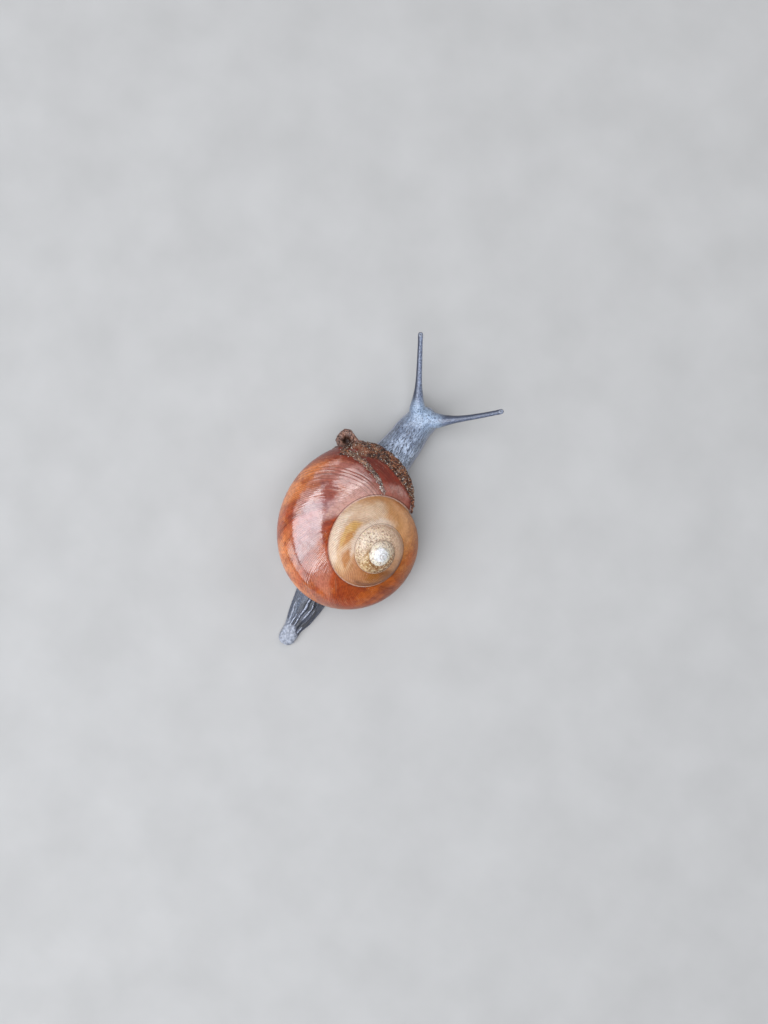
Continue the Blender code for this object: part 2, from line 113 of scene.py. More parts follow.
# Colours along the coil, from the ramp's start to its end
SHELL_RAMP = (
    (0.045, (0.80, 0.74, 0.65)), (0.155, (0.74, 0.61, 0.49)),
    (0.205, (0.38, 0.21, 0.11)), (0.265, (0.26, 0.11, 0.036)),
    (0.305, (0.54, 0.33, 0.14)), (0.34, (0.52, 0.35, 0.22)),
    (0.375, (0.78, 0.64, 0.52)), (0.415, (0.78, 0.57, 0.43)),
    (0.48, (0.58, 0.31, 0.165)), (0.51, (0.27, 0.10, 0.028)),
    (0.54, (0.37, 0.135, 0.040)), (0.575, (0.51, 0.235, 0.11)),
    (0.605, (0.61, 0.36, 0.19)), (0.63, (0.60, 0.41, 0.27)),
    (0.655, (0.57, 0.39, 0.26)), (0.68, (0.68, 0.47, 0.31)),
    (0.70, (0.60, 0.29, 0.11)), (0.715, (0.72, 0.36, 0.16)),
    (0.73, (0.62, 0.26, 0.085)), (0.745, (0.58, 0.21, 0.055)),
    (0.765, (0.43, 0.13, 0.028)), (0.80, (0.29, 0.060, 0.013)),
    (0.825, (0.42, 0.075, 0.013)), (0.87, (0.45, 0.064, 0.009)),
    (0.92, (0.39, 0.058, 0.016)), (0.96, (0.27, 0.033, 0.011)),
    (1.00, (0.100, 0.010, 0.005)),
)
# Tints, and in the last two rows painted shade: whorls from and to, softness; drops below the suture from
# and to, softness; share, colour
SHELL_TINTS_AND_SHADE = (
    (-0.150, -0.085, 0.040, -0.10, 0.095, 0.040, 0.30, (0.52, 0.20, 0.17)),
    (-0.090, 0.000, 0.030, -0.10, 0.035, 0.020, 0.50, (0.50, 0.22, 0.17)),
    (-0.120, -0.070, 0.020, 0.110, 0.165, 0.020, 0.45, (0.60, 0.27, 0.22)),
    (-0.185, -0.150, 0.020, 0.120, 0.160, 0.015, 0.50, (0.78, 0.48, 0.44)),
    (-0.235, -0.105, 0.030, -0.10, 0.045, 0.025, 0.85, (0.72, 0.42, 0.36)),
    (-0.300, -0.200, 0.030, 0.055, 0.120, 0.020, 0.45, (0.42, 0.24, 0.26)),
    (-0.350, -0.290, 0.020, 0.050, 0.120, 0.020, 0.45, (0.26, 0.110, 0.090)),
    (-0.430, -0.370, 0.030, 0.020, 0.090, 0.030, 0.40, (0.66, 0.30, 0.21)),
    (-0.560, -0.395, 0.020, 0.145, 0.400, 0.020, 0.55, (0.24, 0.050, 0.022)),
    (-1.330, -1.040, 0.050, -0.10, 0.022, 0.026, 0.75, (0.76, 0.62, 0.50)),
    (-1.270, -1.130, 0.050, 0.155, 0.500, 0.030, 0.60, (0.82, 0.69, 0.55)),
    (-1.252, -1.172, 0.030, 0.062, 0.106, 0.022, 0.86, (0.56, 0.31, 0.075)),
    (-1.262, -1.226, 0.016, 0.056, 0.086, 0.016, 0.75, (0.44, 0.17, 0.025)),
    (-1.348, -1.316, 0.030, 0.048, 0.090, 0.028, 0.85, (0.40, 0.14, 0.020)),
    # painted shade along the penultimate whorl's lower edge, beside the suture
    (-1.720, -1.460, 0.040, 0.130, 0.500, 0.045, 0.66, (0.15, 0.042, 0.012)),
    # painted shade along the lower edge of the whorl before it, beside the suture
    (-2.700, -2.480, 0.050, 0.130, 0.500, 0.045, 0.80, (0.21, 0.088, 0.030)),
)

# ---------------------------------------------------------------- body, after the solids

# Tail to snout: y, centre x, half width, top, underside, all in mm; the snout a little shorter
BODY = (
    (34.8, -0.3, 0.9, 1.2, 0.0),
    (34.3, -0.3, 1.7, 1.8, 0.0),
    (32.8, -0.3, 2.25, 2.3, 0.0),
    (30.0, -0.4, 2.4, 2.8, 0.0),
    (27.0, -0.5, 3.3, 3.3, 0.0),
    (21.0, -0.4, 4.25, 4.3, 0.0),
    (14.0, -0.2, 5.0, 4.8, 0.0),
    (6.0, 0.0, 5.5, 5.2, 0.0),
    (0.0, 0.1, 5.8, 6.2, 0.0),
    (-6.0, 0.2, 6.0, 10.5, 0.0),
    (-12.0, 0.1, 5.8, 12.0, 0.0),
    (-17.0, 0.0, 5.4, 10.0, 0.0),
    (-20.5, -0.1, 5.15, 8.5, 0.0),
    (-25.0, -0.8, 4.7, 7.7, 0.0),
    (-29.0, -1.1, 4.3, 7.3, 0.0),
    (-32.0, -1.8, 4.1, 7.4, 0.0),
    (-34.0, -2.1, 3.55, 6.7, 0.8),
    (-34.8, -2.15, 2.6, 5.7, 1.7),
    (-35.2, -2.2, 1.5, 4.8, 2.8),
)
# Half outline, sole to crest: share of half width, share of height
OUTLINE = (
    (0.0, 0.0), (0.45, 0.0), (0.86, 0.0), (1.0, 0.07), (1.0, 0.16), (0.90, 0.25), (0.93, 0.42),
    (0.87, 0.62), (0.69, 0.82), (0.38, 0.955), (0.0, 1.0),
)
RINGS_TO_ENDS = 0.45       # how strongly the body's rings crowd towards its two ends
# An upper feeler's curve: root inside the head, bend, and end, in mm
UPPER_FEELERS = {
    "left": ((0.2, -32.6, 5.6), (3.6, -38.9, 10.0), (8.82, -48.1, 14.0)),
    "right": ((-4.2, -32.7, 5.6), (-9.6, -35.4, 9.2), (-17.4, -42.2, 13.0)),
}
LOWER_FEELERS = {
    "left": ((0.1, -33.2, 3.6), (1.1, -35.0, 3.0), (2.2, -36.8, 2.0)),
    "right": ((-4.3, -33.0, 3.6), (-5.9, -34.0, 3.0), (-7.5, -35.0, 2.0)),
}
# Radius of a feeler at its end and what it gains towards its root, in mm
UPPER_TIP, UPPER_TAPER = 0.58, 0.35
LOWER_TIP, LOWER_TAPER = 0.50, 0.35
# Extra radius of an upper feeler where it spreads into the head, and round the eye, and their reach
FLARE, FLARE_REACH = 1.15, 5.0 * MM
BULB, BULB_REACH = 0.13, 1.1 * MM
EYE_HALF = 0.21 * MM
EYE_BACK = 0.12 * MM       # the eye's centre, from the curve's end
EYE_UP = 0.46 * MM
GLINT_GAP, GLINT_SPREAD = 0.16, 0.15     # painted highlight: a pale ring round the eye, in mm
MOUTH_CENTRE = in_mm(-2.15, -34.9, 1.75)
MOUTH_HALF = in_mm(1.45, 0.8, 0.75)
SKIN_GRAIN = 0.205 * MM    # side of the skin's facets
# Top of the head round the upper feelers' roots, x, y and z from and to, in mm
WEBBING = ((-6.6, 1.9), (-36.6, -30.5), (3.4, 20.0))
WEBBING_ROUNDS = 24        # of smoothing there
# Heights of the skin's relief, in mm
NECK_CELLS, HEAD_CELLS = 0.12, 0.05
TAIL_KEELS, TAIL_LUMPS = 0.42, 0.26
FOOT_FRINGE = 0.08
WRINKLES = 0.12
KEEL_SPACING = 0.36        # of the tail's half width
FRINGE_SPACING = 1.15      # mm
# Where the skin's looks change from one to the next: y in mm, and height of the foot's edge
TO_TAIL = (3, 12)
TO_TAIL_END = (28.8, 29.6)
TO_HEAD = (-27, -33)
TO_FOOT = (0.34, 0.22)
TO_TIP = (34.8, 33.9)                  # where the relief ends
FEELERS_FROM = -32
TO_FEELER = (0.06, 0.30)               # share of an upper feeler's length
FEELER_REACH = (2.6 * MM, 1.8 * MM)    # distance from its curve
NECK_TO_PALE = (-26.2 * MM, -22.5 * MM)
TAIL_TO_LEFT = (-0.2 * MM, 1.4 * MM)   # across the tail, from its slate half to its speckled one
# Values that the skin's mesh carries: how far it faces up and to the animal's right, for painted shading,
# its raised cells, and shares of places
SKIN_LAYERS = ("crest", "cell", "feeler", "pad", "tail", "head", "foot", "ring")

# ---------------------------------------------------------------- crusts, round the solids' lip and lobe

CRUST_GRAIN = 0.12 * MM    # side of the crust's facets
RIM_REACH = 17.5 * DEG     # how far the crust reaches back from the lip
RIM_BY_LOBE = 13 * DEG     # and how much further beside the lobe
RIM_LEAST = 1.2 * DEG
RIM_END = -150 * DEG
OLD_LIP_BACK = 42 * DEG    # the former lip, behind the present one at the suture
OLD_LIP_CLOSING = 0.25     # how quickly the two draw together below there
OLD_LIP_TOP = 100 * DEG
OLD_CRUST_HEIGHT = 0.34 * MM
CRUST_HEIGHT = 0.6 * MM
INNER_WALL = (0.975, 0.945)  # of the section, where the crust gives way to the smooth wall
# Sand grains: how many, angles round the section in degrees, radius in mm, and how high they sit
OLD_GRAINS, OLD_GRAIN_ANGLES, OLD_GRAIN_SIZES, OLD_GRAIN_RISE = 240, (100, 34), (0.07, 0.22), 0.04 * MM
NEW_GRAINS, NEW_GRAIN_ANGLES, NEW_GRAIN_SIZES, NEW_GRAIN_RISE = 520, (88, 16), (0.06, 0.17), 0.26 * MM
# Values that the lip's crust carries: the mouth's inner wall, dust, painted shade in the lobe's hollow,
# and the lobe's trough
CRUST_LAYERS = ("inside", "dusty", "hollow", "trough")
OLD_CRUST_LAYERS = ("crown", "along")
LOBE_CENTRE = in_mm(12.0, -17.6, 10.6)
LOBE_HALF = in_mm(3.0, 2.5, 1.5)
LOBE_TURN = 45 * DEG
LOBE_BED = LOBE_CENTRE - in_mm(0.4, -0.3, 1.0)   # centre of the bed under the lobe's folds
LOBE_HOLLOW = in_mm(11.2, -17.3, 10.4)
# The trough beside the hollow: its line, and near the hollow and at its far end, in mm, the half
# widths of its edge and its floor, and its depth
LOBE_TROUGH = (in_mm(11.3, -17.3), in_mm(6.4, -15.9))
TROUGH_EDGE = (1.15, 2.1)
TROUGH_FLOOR = (0.55, 1.2)
TROUGH_DEPTH = (0.85, 0.35)
HOLLOW_ASIDE = (1.15, 0.5)   # mm from the trough's line, over which the painted shade in the hollow sets in
HOLLOW_ALONG = (0.50, 0.08)  # and shares of the line
DUST_REACH = (5.0, 2.2)      # mm from the hollow
# Folds of the crusted lobe: x, y, z and thickness along each, in mm
LOBE_FOLDS = (
    ((8.3, -18.0, 12.0, 0.6), (9.6, -18.4, 11.7, 0.7), (11.0, -19.0, 11.4, 0.75),
     (12.3, -19.1, 11.2, 0.8), (12.9, -17.8, 11.1, 0.85), (12.8, -16.6, 11.3, 0.8),
     (12.1, -15.8, 12.0, 0.6)),
    ((12.2, -15.9, 11.6, 0.6), (11.3, -15.6, 13.0, 0.5), (10.3, -15.3, 14.3, 0.45),
     (8.9, -14.8, 15.6, 0.42), (7.4, -14.2, 16.5, 0.38), (6.2, -13.8, 16.95, 0.3)),
    ((9.5, -18.2, 11.4, 0.6), (8.1, -17.7, 12.5, 0.5), (6.6, -17.4, 13.6, 0.42),
     (5.0, -17.5, 13.95, 0.36), (3.4, -17.7, 13.9, 0.28)),
)


# ---------------------------------------------------------------- shader wiring

class Wire:
    """A shader socket that takes part in arithmetic: each operation adds its Math node."""

    def __init__(self, finish, socket):
        self.finish = finish
        self.socket = socket

    def _math(self, operation, *values, clamp=False):
        settings = {"operation": operation, "use_clamp": clamp}
        return self.finish.node("ShaderNodeMath", settings, dict(enumerate(values)))["Value"]

    def __add__(self, other):
        return self._math("ADD", self, other)

    def __sub__(self, other):
        return self._math("SUBTRACT", self, other)

    def __rsub__(self, other):
        return self._math("SUBTRACT", other, self)

    def __mul__(self, other):
        return self._math("MULTIPLY", self, other)

    def __truediv__(self, other):
        return self._math("DIVIDE", self, other)

    def __pow__(self, other):
        return self._math("POWER", self, other)

    __radd__ = __add__
    __rmul__ = __mul__

    def sine(self):
        return self._math("SINE", self)

    def clamped(self):
        return self._math("ADD", self, 0, clamp=True)

    def between(self, low, high):
        """Rises smoothly from 0 to 1 as the value goes from low to high."""
        settings = {"interpolation_type": "SMOOTHSTEP"}
        inputs = {"Value": self, "From Min": low, "From Max": high, "To Min": 0.0, "To Max": 1.0}
        return self.finish.node("ShaderNodeMapRange", settings, inputs)["Result"]

    def within(self, low, high, soft):
        """1 from low to high, and smoothly 0 past either end."""
        return self.between(low - soft, low) * (1 - self.between(high, high + soft))

    def ramp(self, *stops):
        """Colours at places from 0 to 1."""
        return self.finish.node("ShaderNodeValToRGB", {"stops": stops}, {"Fac": self})["Color"]


class Outputs:
    """A node's output sockets by name."""

    def __init__(self, finish, node):
        self.finish = finish
        self.node = node

    def __getitem__(self, key):
        return Wire(self.finish, self.node.outputs[key])


class Finish:
    """A material under construction."""

    def __init__(self, name):
        self.material = bpy.data.materials.new(name)
        self.material.use_nodes = True
        self.tree = self.material.node_tree
        self.shader = self.tree.nodes["Principled BSDF"]

    def node(self, kind, settings=None, inputs=None):
        """Adds a node: its settings first, then values or links for its sockets."""
        node = self.tree.nodes.new(kind)
        for key, value in (settings or {}).items():
            if key == "stops":
                self._set_stops(node.color_ramp, value)
            else:
                setattr(node, key, value)
        for key, value in (inputs or {}).items():
            self.plug(node.inputs[key], value)
        return Outputs(self, node)

    @staticmethod
    def _set_stops(ramp, stops):
        while len(ramp.elements) < len(stops):
            ramp.elements.new(1.0)
        for element, (place, color) in zip(ramp.elements, stops):
            element.position = place
            element.color = (*color, 1)

    def plug(self, socket, value):
        if isinstance(value, Wire):
            self.tree.links.new(value.socket, socket)
        elif isinstance(value, tuple) and len(value) == 3 and socket.type == "RGBA":
            socket.default_value = (*value, 1)
        else:
            socket.default_value = value

    def attribute(self, name):
        return self.node("ShaderNodeAttribute", {"attribute_name": name})["Fac"]

    def place(self):
        """The point on the object, in metres."""
        return self.node("ShaderNodeTexCoord")["Object"]

    def stretched(self, where, stretch):
        return self.node("ShaderNodeMapping", {}, {"Vector": where, "Scale": stretch})["Vector"]

    def distance(self, first, second):
        settings = {"operation": "DISTANCE"}
        return self.node("ShaderNodeVectorMath", settings, {0: first, 1: second})["Value"]

    def flat(self, x, y):
        """A place on a flat pattern."""
        return self.node("ShaderNodeCombineXYZ", {}, {"X": x, "Y": y})["Vector"]

    def cloud(self, where, scale, detail=3.0, roughness=0.5):
        """Soft noise from about 0.3 to 0.7, with scale bumps to the metre."""
        inputs = {"Vector": where, "Scale": scale, "Detail": detail, "Roughness": roughness}
        return self.node("ShaderNodeTexNoise", {}, inputs)["Fac"]

    def cells(self, where, scale):
        """Distance from the middle of the nearest cell, with scale cells to the metre."""
        return self.node("ShaderNodeTexVoronoi", {}, {"Vector": where, "Scale": scale})["Distance"]

    def blend(self, share, first, second, way="MIX"):
        """Two colours mixed by a share."""
        settings = {"data_type": "RGBA", "blend_type": way, "clamp_factor": True}
        mixer = self.node("ShaderNodeMix", settings).node
        # a Mix node's sockets for colours come after those for numbers and vectors
        for index, value in ((0, share), (6, first), (7, second)):
            self.plug(mixer.inputs[index], value)
        return Wire(self, mixer.outputs[2])

    def covered(self, color, *coats):
        """A colour under coats of others, each given by its share and colour."""
        for share, coat in coats:
            color = self.blend(share, color, coat)
        return color

    def bump(self, height, depth, strength=1.0):
        inputs = {"Height": height, "Distance": depth, "Strength": strength}
        return self.node("ShaderNodeBump", {}, inputs)["Normal"]

    def set(self, **values):
        """Sets or links the main shader's sockets, named with underscores."""
        for key, value in values.items():
            self.plug(self.shader.inputs[key.replace("_", " ")], value)
        return self.material


# ---------------------------------------------------------------- mesh helpers

def smoothstep(low, high, value):
    share = min(max((value - low) / (high - low), 0), 1)
    return share * share * (3 - 2 * share)


def mix(first, second, share):
    return first + (second - first) * share


def soft_noise(*numbers):
    """Noise from -1 to 1 at a place given by three numbers."""
    return noise.noise(Vector(numbers))


def rippled(point, size, seed):
    """Noise from -1 to 1 at a point, with bumps of about the given size."""
    return noise.noise(point / size + Vector((seed, seed * 1.7, -seed)))


def layers_on(bm, names):
    return [bm.verts.layers.float.new(name) for name in names]


def mark(vert, layers, values):
    for layer, value in zip(layers, values):
        vert[layer] = value


def bent_grid(across, along, place, layer_names=()):
    """A flat grid bent into shape: the corner at shares s and t goes to place(s, t).

    place gives the point, and then a value for each of the named layers.
    """
    bm = bmesh.new()
    bmesh.ops.create_grid(bm, x_segments=across, y_segments=along, size=0.5)
    layers = layers_on(bm, layer_names)
    for vert in bm.verts:
        vert.co, *values = place(vert.co.x + 0.5, vert.co.y + 0.5)
        mark(vert, layers, values)
    return bm


def close_up(bm):
    """Welds what meets, closes open ends and points all faces out."""
    bmesh.ops.remove_doubles(bm, verts=bm.verts, dist=WELD)
    bmesh.ops.holes_fill(bm, edges=[edge for edge in bm.edges if edge.is_boundary])
    bmesh.ops.recalc_face_normals(bm, faces=bm.faces)
    return bm


def add_mesh(name, bm, smooth=True):
    mesh = bpy.data.meshes.new(name)
    bm.to_mesh(mesh)
    bm.free()
    if smooth:
        mesh.shade_smooth()
    piece = bpy.data.objects.new(name, mesh)
    bpy.context.scene.collection.objects.link(piece)
    return piece


def join_into(bm, other):
    """Adds another bmesh's faces to this one."""
    carrier = bpy.data.meshes.new("carrier")
    other.to_mesh(carrier)
    other.free()
    bm.from_mesh(carrier)
    bpy.data.meshes.remove(carrier)


def fused(bm, grain, rounds):
    """One even surface round all the closed shapes, softened where they meet."""
    rough = add_mesh("rough", bm, smooth=False)
    remesh = rough.modifiers.new("Fuse", "REMESH")
    remesh.mode = "VOXEL"
    remesh.voxel_size = grain
    soften = rough.modifiers.new("Soften", "SMOOTH")
    soften.factor = 0.5
    soften.iterations = rounds
    bpy.context.view_layer.update()
    seen = rough.evaluated_get(bpy.context.evaluated_depsgraph_get())
    mesh = bpy.data.meshes.new_from_object(seen)
    bpy.data.objects.remove(rough, do_unlink=True)
    bm = bmesh.new()
    bm.from_mesh(mesh)
    bpy.data.meshes.remove(mesh)
    bmesh.ops.recalc_face_normals(bm, faces=bm.faces)
    bm.normal_update()
    return bm


def dress(piece, material, slot, *nodes):
    """Finishes a piece: its material, its body and the solids that it stands for; its slot is not used.
    """
    piece.data.materials.clear()
    piece.data.materials.append(material)
    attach(piece, "root")
    if nodes:
        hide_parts(*nodes)


# ---------------------------------------------------------------- shell

def shell_pose():
    lean = Matrix.Rotation(AXIS_LEAN, 4, "Y")
    nod = Matrix.Rotation(AXIS_NOD, 4, "X")
    spin = Matrix.Rotation(AXIS_SPIN, 4, "Z")
    return Matrix.Translation(APEX) @ lean @ nod @ spin


POSE = shell_pose()


def section_at(angle, inset=0.0):
    """A point of the whorl's section, out from the coiling axis and up from the apex, of radius."""
    across = (SECTION_LONG - inset) * math.cos(angle)
    along = (SECTION_SHORT - inset) * math.sin(angle)
    out = 1 + across * math.cos(SECTION_TILT) - along * math.sin(SECTION_TILT)
    up = -SECTION_DROP + across * math.sin(SECTION_TILT) + along * math.cos(SECTION_TILT)
    return out, up


def angle_on_section(out, up):
    """The angle round the section, and how far out of it a point lies, 1 being on its edge."""
    dx = out - 1
    dz = up + SECTION_DROP
    across = (dx * math.cos(SECTION_TILT) + dz * math.sin(SECTION_TILT)) / SECTION_LONG
    along = (-dx * math.sin(SECTION_TILT) + dz * math.cos(SECTION_TILT)) / SECTION_SHORT
    return math.atan2(along, across), math.hypot(across, along)


def suture_angles():
    """Where a whorl touches the one before it, and the same place as seen on that one."""
    outside, inside = 60 * DEG, 150 * DEG
    for _ in range(50):
        middle = (outside + inside) / 2
        out, up = section_at(middle)
        angle, distance = angle_on_section(out * TURN_RATIO, up * TURN_RATIO)
        if distance > 1:
            outside = middle
        else:
            inside = middle
    return outside, angle


SUTURE, BELOW_SUTURE = suture_angles()


def lag(angle):
    """How far the growth line lies behind the suture, at an angle round the section."""
    return LAG_LIMIT * math.tanh(LAG_RATE * (SUTURE - angle) / LAG_LIMIT)


def whorl_point(turn, angle, depth=0.0):
    """A point of the growth line that leaves the suture at a turn angle, at a depth under it."""
    turn -= lag(angle)
    radius = MOUTH_RADIUS * TURN_RATIO ** (turn / WHORL)
    out, up = section_at(angle, depth / radius)
    return POSE @ (Vector((out * math.cos(turn), -out * math.sin(turn), up)) * radius)


def ribs_before(turn):
    """Ribs from the mouth back to a turn angle, as a negative number."""
    return RIBS_PER_WHORL / GROWTH * (TURN_RATIO ** (turn / WHORL) - 1)


def turn_of_rib(rib):
    return WHORL / GROWTH * math.log(1 + rib * GROWTH / RIBS_PER_WHORL)


def rib_profile(phase):
    """A rib from groove to groove: broad and rounded, steeper on the side towards the lip."""
    skewed = (phase % 1) ** 0.8
    return 1 - (0.5 + 0.5 * math.cos(WHORL * skewed)) ** 1.8


def rest_mark(turn, angle):
    """1 in a deep mark where growth once rested, 0 away from all of them."""
    deepest = 0.0
    for rest, strength in RESTS:
        waver = 0.6 * soft_noise(angle * 4, rest, 0)
        away = (turn - rest * DEG) / DEG + waver
        fade = min(max(0.75 + soft_noise(angle * 2.5, rest, 4), 0), 1)
        deepest = max(deepest, math.exp(-(away / REST_SPREAD) ** 2) * fade * strength)
    return deepest


def shell_relief(turn, angle, rib):
    """Height of the surface over the plain coil."""
    whorls = turn / WHORL
    scale = TURN_RATIO ** whorls
    strength = 0.65 + 1.1 * soft_noise(whorls * 9, angle * 1.4, 0)
    strength *= mix(0.45, 1.0, smoothstep(-60 * DEG, 20 * DEG, angle))
    strength *= smoothstep(*RIBS_RISE, whorls)
    wander = 0.45 * soft_noise(whorls * 20, angle * 3.0, 5)
    height = RIB_HEIGHT * max(strength, 0.15) * rib_profile(rib + wander)
    height += SWELL_HEIGHT * scale * soft_noise(whorls * 7, angle * 2.6, 9)
    height += SCUFF_HEIGHT * soft_noise(rib * 0.9, angle * 14, 2)
    gritty = smoothstep(*GRITTY_TO, whorls) * smoothstep(*GRITTY_FROM, whorls)
    height += WEAR_HEIGHT * gritty * soft_noise(rib * 0.5, angle * 7, 12)
    below = (SUTURE - angle) / DEG
    thread = math.exp(-((below - 0.6) / 0.6) ** 2)
    groove = math.exp(-((below - 2.1) / 0.9) ** 2)
    height += SUTURE_THREAD * scale * (thread - groove)
    height -= REST_DEPTH * rest_mark(turn, angle)
    crust_edge = LIP_TURN - rim_width(angle)
    under_crust = smoothstep(crust_edge, crust_edge + 3 * DEG, turn)
    return height - SHELL_SINK - CRUST_BED * under_crust * smoothstep(0, 12, below)


def coil_sheet(first_rib, high, low, columns, crowd=1.0):
    """The coil's surface between two angles round the section, growth line by growth line.

    With a crowd above 1, the columns stand closer together towards the high angle.
    """
    last_rib = ribs_before(SHELL_END)
    rows = round((last_rib - first_rib) * ROWS_PER_RIB)

    def place(s, t):
        rib = mix(first_rib, last_rib, t)
        angle = mix(high, low, s ** crowd)
        turn = turn_of_rib(rib)
        point = whorl_point(turn, angle, -shell_relief(turn, angle, rib))
        return point, turn / WHORL, (SUTURE - angle) / WHORL, rib, rest_mark(turn, angle)

    return bent_grid(columns, rows, place, SHELL_LAYERS)


def worn_apex():
    """The smooth low dome that the first whorls have been worn to."""
    bm = bmesh.new()
    form = Matrix.Diagonal((*APEX_DOME, 1))
    place = POSE @ Matrix.Translation((0, 0, -APEX_DOME.z - APEX_WORN)) @ form
    bmesh.ops.create_uvsphere(bm, u_segments=64, v_segments=40, radius=1, matrix=place)
    layers = layers_on(bm, SHELL_LAYERS)
    inverse = POSE.inverted()
    bm.normal_update()
    for vert in bm.verts:
        local = inverse @ vert.co
        out = math.hypot(local.x, local.y) / APEX_DOME.x
        mark(vert, layers, (mix(*APEX_WHORLS, out), APEX_DROP))
        swirl = math.sin(3 * WHORL * out ** 0.7 + math.atan2(local.y, local.x))
        rough = rippled(vert.co, 0.6 * MM, 3) + 0.7 * rippled(vert.co, 0.25 * MM, 5) + 0.8 * swirl
        vert.co += vert.normal * (rough - 1) * APEX_RELIEF
    return bm


def shell_coil():
    """The whole shell: a band of every whorl from suture to suture, and the last one's base."""
    band_low = BELOW_SUTURE - 4 * DEG
    bm = coil_sheet(ribs_before(FIRST_TURN), SUTURE + SEAM_LAP, band_low, columns=36, crowd=1.45)
    turns = bm.verts.layers.float["turn"]
    start = min(vert[turns] for vert in bm.verts)
    first_row = [vert for vert in bm.verts if vert[turns] < start + 0.001]
    top = max(first_row, key=lambda vert: vert.co.z).co.copy()
    bmesh.ops.pointmerge(bm, verts=first_row, merge_co=top)
    join_into(bm, worn_apex())
    # whole ribs from the lip back, so that the rows of both sheets meet
    last_rib = ribs_before(SHELL_END)
    base_ribs = math.ceil(ribs_before(BASE_TURN) - last_rib)
    join_into(bm, coil_sheet(last_rib + base_ribs, band_low, COLUMELLA, columns=56))
    bmesh.ops.remove_doubles(bm, verts=bm.verts, dist=SEAM_WELD)
    bmesh.ops.recalc_face_normals(bm, faces=bm.faces)
    return add_mesh("ribbed_shell", bm)


def local_tints_and_shade(turn, drop, patch, blotch):
    """The share and colour of each tint or painted shade, with edges that waver."""
    turn = turn + (patch - 0.5) * 0.05
    drop = drop + (blotch - 0.5) * 0.05
    return [
        (turn.within(first, last, turn_soft) * drop.within(high, low, drop_soft) * share, tint)
        for first, last, turn_soft, high, low, drop_soft, share, tint in SHELL_TINTS_AND_SHADE]


def water_film(turn, drop, stain, newer, older):
    """Full on the newest part of the last whorl, and thin or broken elsewhere."""
    film = 1 - (1 - newer) * 0.84 + older * 0.1 - newer * (1 - turn.between(-0.50, -0.37)) * 0.84
    film = film * (drop.between(0.004, 0.022) * 0.8 + 0.2)
    for broken in (
            drop.between(0.135, 0.19) * 0.4,
            turn.between(-0.10, -0.05) * 0.4,
            turn.within(-1.36, -1.16, 0.03) * 0.5,
            turn.within(-0.35, -0.32, 0.015) * 0.32,
            stain.between(0.53, 0.60) * newer * 0.22):
        film = film * (1 - broken)
    return film


